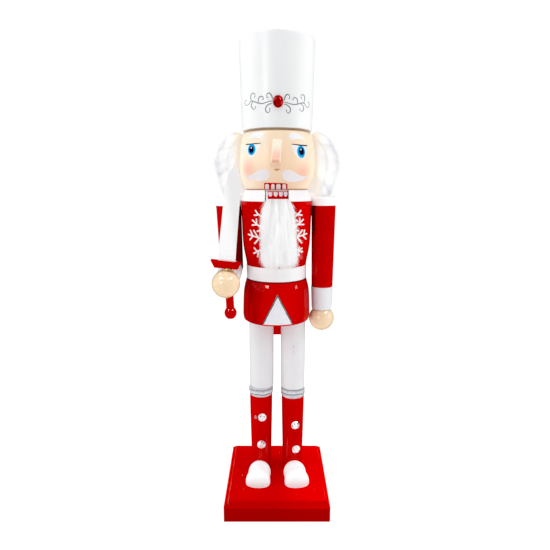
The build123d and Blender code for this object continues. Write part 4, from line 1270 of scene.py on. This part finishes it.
def hair_piece(name, a0, a1, n, seed):
    """Long fur standing out from the strip glued round the back of the head, falling away below the hat's brim."""
    rng = np.random.default_rng(seed)
    s = rng.uniform(0, 1, n) ** 1.12 * cum[-1]
    r = np.interp(s, cum, under[:, 0]) - 0.8
    z = np.interp(s, cum, under[:, 1])
    ang = np.radians(rng.uniform(a0, a1, n))
    tilt = np.interp(z, [264, 270, 280, 290, 300, 306, 311], [76, 60, 43, 30, 13, -4, -26])
    tilt = np.radians(tilt + rng.normal(0, 10.0, n))
    rad = np.stack([np.cos(ang), np.sin(ang), np.zeros(n)], 1)
    tanv = np.stack([-np.sin(ang), np.cos(ang), np.zeros(n)], 1)
    up = np.tile([0, 0, 1.0], (n, 1))
    side = rng.normal(0, 0.22, n)
    front = np.clip(1 - np.abs(np.degrees(ang)) / 18, 0, 1) - np.clip(1 - np.abs(np.degrees(ang) - 180) / 18, 0, 1)
    d = rad * np.cos(tilt)[:, None] - up * np.sin(tilt)[:, None] + tanv * (side - front * 0.38)[:, None]
    d /= np.linalg.norm(d, axis=1, keepdims=True)
    roots = rad * r[:, None] + np.array([0, AY, 0]) + up * z[:, None]
    # each hair is long enough to reach the tuft's outside, some a little short of it and a few past it
    want = np.full(n, 17.0)
    for step in np.arange(17.0, 2.0, -0.5):
        p = roots + d * step - up * (0.9 * step / 12.0)
        pr = np.hypot(p[:, 0], p[:, 1] - AY)
        past = (pr > np.interp(p[:, 2], outer_z, outer_r)) | (p[:, 2] < 261.0)
        want = np.where(past, step, want)
    L = np.clip(want, 4.5, 16.0) * np.clip(rng.normal(0.92, 0.16, n), 0.5, 1.18)
    sag = -up * (rng.uniform(0.2, 1.8, n) * (L / 12.0))[:, None] - rad * (0.4 * (L / 12.0))[:, None]
    bow = (tanv * rng.normal(0, 0.45, n)[:, None] + up * rng.normal(0.35, 0.4, n)[:, None]) * (L / 12.0)[:, None]
    tips = roots + d * L[:, None] + sag
    low = np.where(np.abs(tips[:, 1] - AY) < 12.5, 262.5, 259.6)
    k = np.clip((roots[:, 2] - low) / np.maximum(roots[:, 2] - tips[:, 2], 1e-6), 0.25, 1.0)
    k = np.where(tips[:, 2] < low, k, 1.0)
    L = L * k
    sag = sag * k[:, None]
    return strands(name, roots, d, L, sag, 0.11, hair_mat, "figure", seed, clump=0.8, per_clump=26, bow=bow,
                   tone=(coat_of(np.degrees(ang) - a0, (z - 262.0) / 7.0, 1.1) if 45 < a0 < 100 else
                         coat_of(z - 262.0 + 1.5 * np.sin(np.degrees(ang) / 9.0), np.degrees(ang) / 25.0, 0.62)))


def hair_face(name, sgn, n, seed):
    """The cut ends of the fur strip, beside the face: fur combed outwards and down over them."""
    rng = np.random.default_rng(seed)
    inner = np.array([(r, z) for r, z, k in hair_prof if k == 0])
    z = rng.uniform(265.4, 309.4, n)
    r0 = np.interp(z, inner[:, 1], inner[:, 0]) + 0.5
    r1 = np.interp(z, under[::-1, 1], under[::-1, 0]) - 0.4
    r = r0 + np.maximum(r1 - r0, 0.0) * rng.uniform(0, 1, n) ** 0.9
    a_ = np.radians(np.interp(r, [30.0, 36.3, 39.0, 40.2, 41.2], [3.0, 4.5, 6.5, 8.0, 9.5]) + 1.5 * rng.uniform(0, 1, n))
    ang = a_ if sgn > 0 else np.pi - a_
    tilt = np.interp(z, [264, 270, 280, 290, 300, 306, 311], [74, 60, 46, 34, 17, 0, -20])
    tilt = np.radians(tilt + rng.normal(0, 17.0, n))
    rad = np.stack([np.cos(ang), np.sin(ang), np.zeros(n)], 1)
    fwd = np.tile([0.0, -1.0, 0.0], (n, 1))
    up = np.tile([0, 0, 1.0], (n, 1))
    d = rad * np.cos(tilt)[:, None] - up * np.sin(tilt)[:, None] + fwd * rng.uniform(0.05, 0.5, n)[:, None]
    d /= np.linalg.norm(d, axis=1, keepdims=True)
    roots = rad * r[:, None] + np.array([0, AY, 0]) + up * z[:, None]
    want = np.full(n, 14.0)
    for step in np.arange(14.0, 2.0, -0.5):
        p = roots + d * step - up * (0.9 * step / 12.0)
        pr = np.hypot(p[:, 0], p[:, 1] - AY)
        past = (pr > np.interp(p[:, 2], outer_z, outer_r)) | (p[:, 2] < 261.0)
        want = np.where(past, step, want)
    L = np.clip(want, 3.0, 14.0) * np.clip(rng.normal(0.92, 0.2, n), 0.4, 1.15)
    sag = -up * (rng.uniform(0.2, 2.0, n) * (L / 12.0))[:, None]
    bow = (fwd * rng.uniform(0.0, 0.6, n)[:, None] + up * rng.normal(0.4, 0.4, n)[:, None]) * (L / 12.0)[:, None]
    return strands(name, roots, d, L, sag, 0.10, hair_mat, "figure", seed, clump=0.75, per_clump=24,
                   bow=bow, tone=coat_of(z - 262.0 + (r - 36.0) * 0.5, (r - 30.0) / 4.0, 0.62))


hair_face("hair_fur_face_left", 1, 8800, 51)
hair_face("hair_fur_face_right", -1, 8800, 52)
per = 8800
for k_, (a0, a1) in enumerate(((-2.5, 17.0), (17.0, 50.0), (50.0, 90.0), (90.0, 130.0), (130.0, 163.0), (163.0, 182.5))):
    hair_piece("hair_fur_" + ("left_front", "left", "back_left", "back_right", "right", "right_front")[k_], a0, a1, per, 31 + k_)

# beard: a thick tuft on the jaw's front; its tips rest on the chest
def beard_half(z):
    lz = np.array([213.0, 216.0, 221.0, 230.0, 242.0, 253.0, 260.2])
    return (np.interp(z, lz, [-3.0, -8.2, -9.6, -9.8, -9.6, -9.4, -8.7]),
            np.interp(z, lz, [5.0, 11.6, 13.0, 12.2, 11.2, 10.6, 9.5]))


verts, faces = [], []
rows, cols = 26, 20
for i in range(rows + 1):
    z = 260.6 - (260.6 - 213.8) * i / rows
    l_, r_ = beard_half(min(z, 260.2))
    bulge = 2.0 + 1.3 * math.sin(math.pi * min(i / rows * 1.1, 1.0))
    for j in range(cols):
        q = 2 * math.pi * j / cols
        cx, hw = (l_ + r_) / 2, (r_ - l_) / 2 * 0.86
        x = cx + hw * math.cos(q)
        yy = -29.45 - (bulge + bulge * math.sin(q)) * (0.5 + 0.5 * abs(math.sin(q))) if math.sin(q) > 0 else -29.45
        yy = -29.45 - max(math.sin(q), 0.0) ** 0.7 * bulge
        verts.append((x * MM, (AY + yy) * MM, z * MM))
for i in range(rows):
    for j in range(cols):
        a_, b_ = i * cols + j, i * cols + (j + 1) % cols
        faces.append((a_, a_ + cols, b_ + cols, b_))
faces.append(tuple(range(cols)))
faces.append(tuple(rows * cols + j for j in range(cols))[::-1])
pad = add_mesh("beard_underfur", verts, faces, beard_felt, None, True)
bm = bmesh.new()
bm.from_mesh(pad.data)
bmesh.ops.recalc_face_normals(bm, faces=bm.faces)
bm.to_mesh(pad.data)
bm.free()
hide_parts("beard")




def locks(x, z):
    """Long vertical locks: hairs that start side by side share a tone, which wanders a little on the way down."""
    u = np.clip((x + 20.0) / 0.42 + 0.8 * np.sin(z / 7.0), 0, 98.999)
    v = np.clip((z - 210.0) / 7.0, 0, 7.999)
    i, j = u.astype(int), v.astype(int)
    fu, fv = u - i, v - j
    top = LOCKS[i, j] * (1 - fu) + LOCKS[i + 1, j] * fu
    low = LOCKS[i, j + 1] * (1 - fu) + LOCKS[i + 1, j + 1] * fu
    return np.clip((top * (1 - fv) + low * fv - 0.5) * 1.4 + 0.48, 0, 1)


def beard_piece(name, n, seed, depth):
    rng = np.random.default_rng(seed)
    z = 260.9 - (260.9 - 215.0) * rng.uniform(0, 1, n) ** 1.1
    l_, r_ = beard_half(np.minimum(z, 260.2))
    f = rng.uniform(-1, 1, n)
    f = np.sign(f) * np.abs(f) ** 0.8
    cx, hw = (l_ + r_) / 2, (r_ - l_) / 2
    x = cx + hw * f * 0.95
    t = (260.9 - z) / 46.0
    bulge = (2.0 + 1.3 * np.sin(np.pi * np.clip(t * 1.1, 0, 1))) * np.sqrt(np.clip(1 - f * f, 0.0, 1)) * depth
    y = -29.5 - bulge
    roots = np.stack([x, AY + y, z], 1)
    fan = f * (0.20 - 0.06 * t) + rng.normal(0, 0.07, n) + np.where((np.abs(f) > 0.55) & (rng.uniform(0, 1, n) < 0.28), 0.26 * np.sign(f), 0.0)
    out_ = -np.clip(rng.normal(0.20, 0.12, n), 0.0, 0.55) * (1 - 0.35 * np.abs(f))
    d = np.stack([fan, out_, -np.ones(n)], 1)
    L = rng.uniform(10.0, 23.0, n)
    room = z - 204.4 - rng.uniform(0, 5.5, n)
    L = np.minimum(L, np.maximum(room, 3.0))
    sag = np.stack([-f * 1.4 * (L / 12), np.full(n, 1.0) * (L / 12), np.zeros(n)], 1)
    bow = np.stack([rng.normal(0, 0.40, n), rng.normal(0, 0.25, n), np.zeros(n)], 1) * (L / 12)[:, None]
    return strands(name, roots, d, L, sag, 0.095, beard_mat, None, seed, clump=0.6, per_clump=24, bow=bow,
                   tone=locks(x, z))


def beard_edge(name, n, seed):
    """Loose, wispy hair along the beard's two sides and its lower end."""
    rng = np.random.default_rng(seed)
    z = rng.uniform(216.0, 260.0, n)
    l_, r_ = beard_half(z)
    right = rng.uniform(0, 1, n) < 0.42
    way = np.where(right, -1.0, 1.0)
    x = np.where(right, l_, r_) - way * rng.uniform(0.2, 2.4, n)
    y = -29.6 - rng.uniform(0.2, 1.6, n)
    roots = np.stack([x, AY + y, z], 1)
    d = np.stack([way * rng.uniform(0.12, 0.95, n), -rng.uniform(-0.1, 0.25, n), -np.ones(n)], 1)
    L = rng.uniform(4.0, 10.0, n)
    L = np.minimum(L, np.maximum(z - 205.0, 3.0))
    sag = np.stack([np.zeros(n), 1.2 * (L / 9), -rng.uniform(0, 1.0, n)], 1)
    bow = np.stack([way * rng.normal(0.2, 0.4, n), np.zeros(n), rng.normal(0, 0.2, n)], 1)
    return strands(name, roots, d, L, sag, 0.07, beard_mat, None, seed, clump=0.45, per_clump=7, bow=bow)


def stray_hairs(name, n, seed):
    """A few long hairs that have worked loose and lie over the chest, most of them to the left."""
    rng = np.random.default_rng(seed)
    z = rng.uniform(222.0, 259.0, n)
    l_, r_ = beard_half(z)
    right = rng.uniform(0, 1, n) < 0.3
    x = np.where(right, l_ + 1.5, r_ - 1.5)
    y = -np.sqrt(30.0 ** 2 - x ** 2) - 1.2
    roots = np.stack([x, AY + y, z], 1)
    way = np.where(right, -1.0, 1.0)
    slope = rng.uniform(0.35, 1.3, n)
    d = np.stack([way, 0.10 * np.ones(n), -slope], 1)
    L = rng.uniform(6.0, 14.0, n) * np.where(right, 0.6, 1.0)
    tip_x = np.clip(roots[:, 0] + way * L * 0.7, -27.0, 27.0)
    # each one follows the chest round
    back = (-np.sqrt(30.2 ** 2 - tip_x ** 2) - 0.4) - y
    dn = d / np.linalg.norm(d, axis=1, keepdims=True)
    sag = np.stack([np.zeros(n), back - dn[:, 1] * L, -rng.uniform(0.0, 2.5, n)], 1)
    bow = np.stack([np.zeros(n), -np.abs(rng.normal(0.5, 0.3, n)), rng.normal(0.4, 0.5, n)], 1)
    return strands(name, roots, d, L, sag, 0.13, beard_mat, None, seed, parts=6, clump=0.0, per_clump=4, bow=bow)


fur_a = beard_piece("beard_fur_outer", 8800, 41, 1.0)
fur_b = beard_piece("beard_fur_inner", 7000, 42, 0.7)
fur_c = stray_hairs("beard_fur_stray", 90, 43)
fur_d = beard_edge("beard_fur_edge", 2200, 44)
for ob in (pad, fur_a, fur_b, fur_c, fur_d):
    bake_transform(ob)

# ---------------------------------------------------------- floor and light
me = bpy.data.meshes.new("floor")
s = 6.0
me.from_pydata([(-s, -s, 0), (s, -s, 0), (s, s, 0), (-s, s, 0)], [], [(0, 1, 2, 3)])
w = Mat("floor_paint")
w.set(color=w.ramp(w.noise(3.0, 2.0), [(0.3, (0.35, 0.35, 0.35)), (0.7, (0.37, 0.37, 0.37))]), spec=0.1, glow=0.78,
      glow_color=(1.0, 1.0, 1.0),
      rough=w.remap(w.noise(5.0), 0.3, 0.7, 0.7, 0.8))
me.materials.append(w.m)
floor = bpy.data.objects.new("floor", me)
scene.collection.objects.link(floor)
floor.visible_glossy = False

world = bpy.data.worlds.new("studio")
scene.world = world
world.use_nodes = True
wn = world.node_tree
for nd in list(wn.nodes):
    wn.nodes.remove(nd)
out = wn.nodes.new("ShaderNodeOutputWorld")
tent = wn.nodes.new("ShaderNodeBackground")       # the light tent: paler at its sides and top than at its open front
sweep = wn.nodes.new("ShaderNodeBackground")      # the plain white sweep seen behind
sweep.inputs["Strength"].default_value = 1.02
sweep.inputs["Color"].default_value = (1, 1, 1, 1)
coord = wn.nodes.new("ShaderNodeTexCoord")
xyz = wn.nodes.new("ShaderNodeSeparateXYZ")
wn.links.new(coord.outputs["Generated"], xyz.inputs[0])
front = wn.nodes.new("ShaderNodeMapRange")
front.interpolation_type = "SMOOTHSTEP"
for k, v in zip(("From Min", "From Max", "To Min", "To Max"), (-0.95, -0.25, TENT_FRONT, TENT_SIDE)):
    front.inputs[k].default_value = v
wn.links.new(xyz.outputs[1], front.inputs["Value"])
wn.links.new(front.outputs["Result"], tent.inputs["Strength"])
tent.inputs["Color"].default_value = (1, 1, 1, 1)
path = wn.nodes.new("ShaderNodeLightPath")
mixw = wn.nodes.new("ShaderNodeMixShader")
flags = wn.nodes.new("ShaderNodeBackground")      # dark flags in front keep the gloss from veiling the colours
flags.inputs["Color"].default_value = (1, 1, 1, 1)
flag_side = wn.nodes.new("ShaderNodeMapRange")
flag_side.interpolation_type = "SMOOTHSTEP"
for k, v in zip(("From Min", "From Max", "To Min", "To Max"), (-0.6, 0.3, FLAG_FRONT, FLAG_SIDE)):
    flag_side.inputs[k].default_value = v
wn.links.new(xyz.outputs[1], flag_side.inputs["Value"])
wn.links.new(flag_side.outputs["Result"], flags.inputs["Strength"])
gloss = wn.nodes.new("ShaderNodeMixShader")
wn.links.new(path.outputs["Is Glossy Ray"], gloss.inputs[0])
wn.links.new(tent.outputs[0], gloss.inputs[1])
wn.links.new(flags.outputs[0], gloss.inputs[2])
wn.links.new(path.outputs["Is Camera Ray"], mixw.inputs[0])
wn.links.new(gloss.outputs[0], mixw.inputs[1])
wn.links.new(sweep.outputs[0], mixw.inputs[2])
wn.links.new(mixw.outputs[0], out.inputs["Surface"])


def softbox(name, loc, target, size, power, shine=False, size_y=None):
    """A broad box lights the surfaces; a shine box is only there as the bright window seen in the lacquer."""
    ld = bpy.data.lights.new(name, "AREA")
    ld.shape = "RECTANGLE"
    ld.size = size
    ld.size_y = size_y or size
    ld.energy = power
    ob = bpy.data.objects.new(name, ld)
    ob.location = loc
    ob.rotation_euler = (Vector(target) - Vector(loc)).to_track_quat("-Z", "Y").to_euler()
    ob.visible_diffuse = not shine
    ob.visible_glossy = shine
    scene.collection.objects.link(ob)
    return ob


softbox("left", (-0.90, -0.24, 0.62), (0, 0, 0.2), 0.42, 1.75)
softbox("right", (0.93, -0.12, 0.62), (0, 0, 0.2), 0.42, 1.75)
softbox("top", (0.0, 0.05, 1.1), (0, 0, 0.1), 0.7, 2.35)
softbox("front_left", (-0.42, -0.55, 1.00), (0, 0, 0.2), 0.20, 0.62)
softbox("front_right", (0.42, -0.55, 1.00), (0, 0, 0.2), 0.20, 0.40)
softbox("shine_left", (-0.57, -0.37, 0.93), (0, 0, 0.2), 0.24, 5.5, True, 0.11)
softbox("shine_right", (0.63, -0.26, 0.93), (0, 0, 0.2), 0.30, 4.0, True, 0.11)
softbox("glint_left", (-0.57, -0.80, 0.52), (0, 0, 0.19), 0.24, 1.5, True, 0.08)
softbox("glint_right", (0.93, -0.23, 0.37), (0, 0, 0.19), 0.20, 0.5, True, 0.09)
softbox("shine_front_left", (-0.41, -0.52, 0.96), (0, 0, 0.2), 0.14, 0.3, True)
softbox("shine_front_right", (0.41, -0.52, 0.96), (0, 0, 0.2), 0.14, 0.3, True)
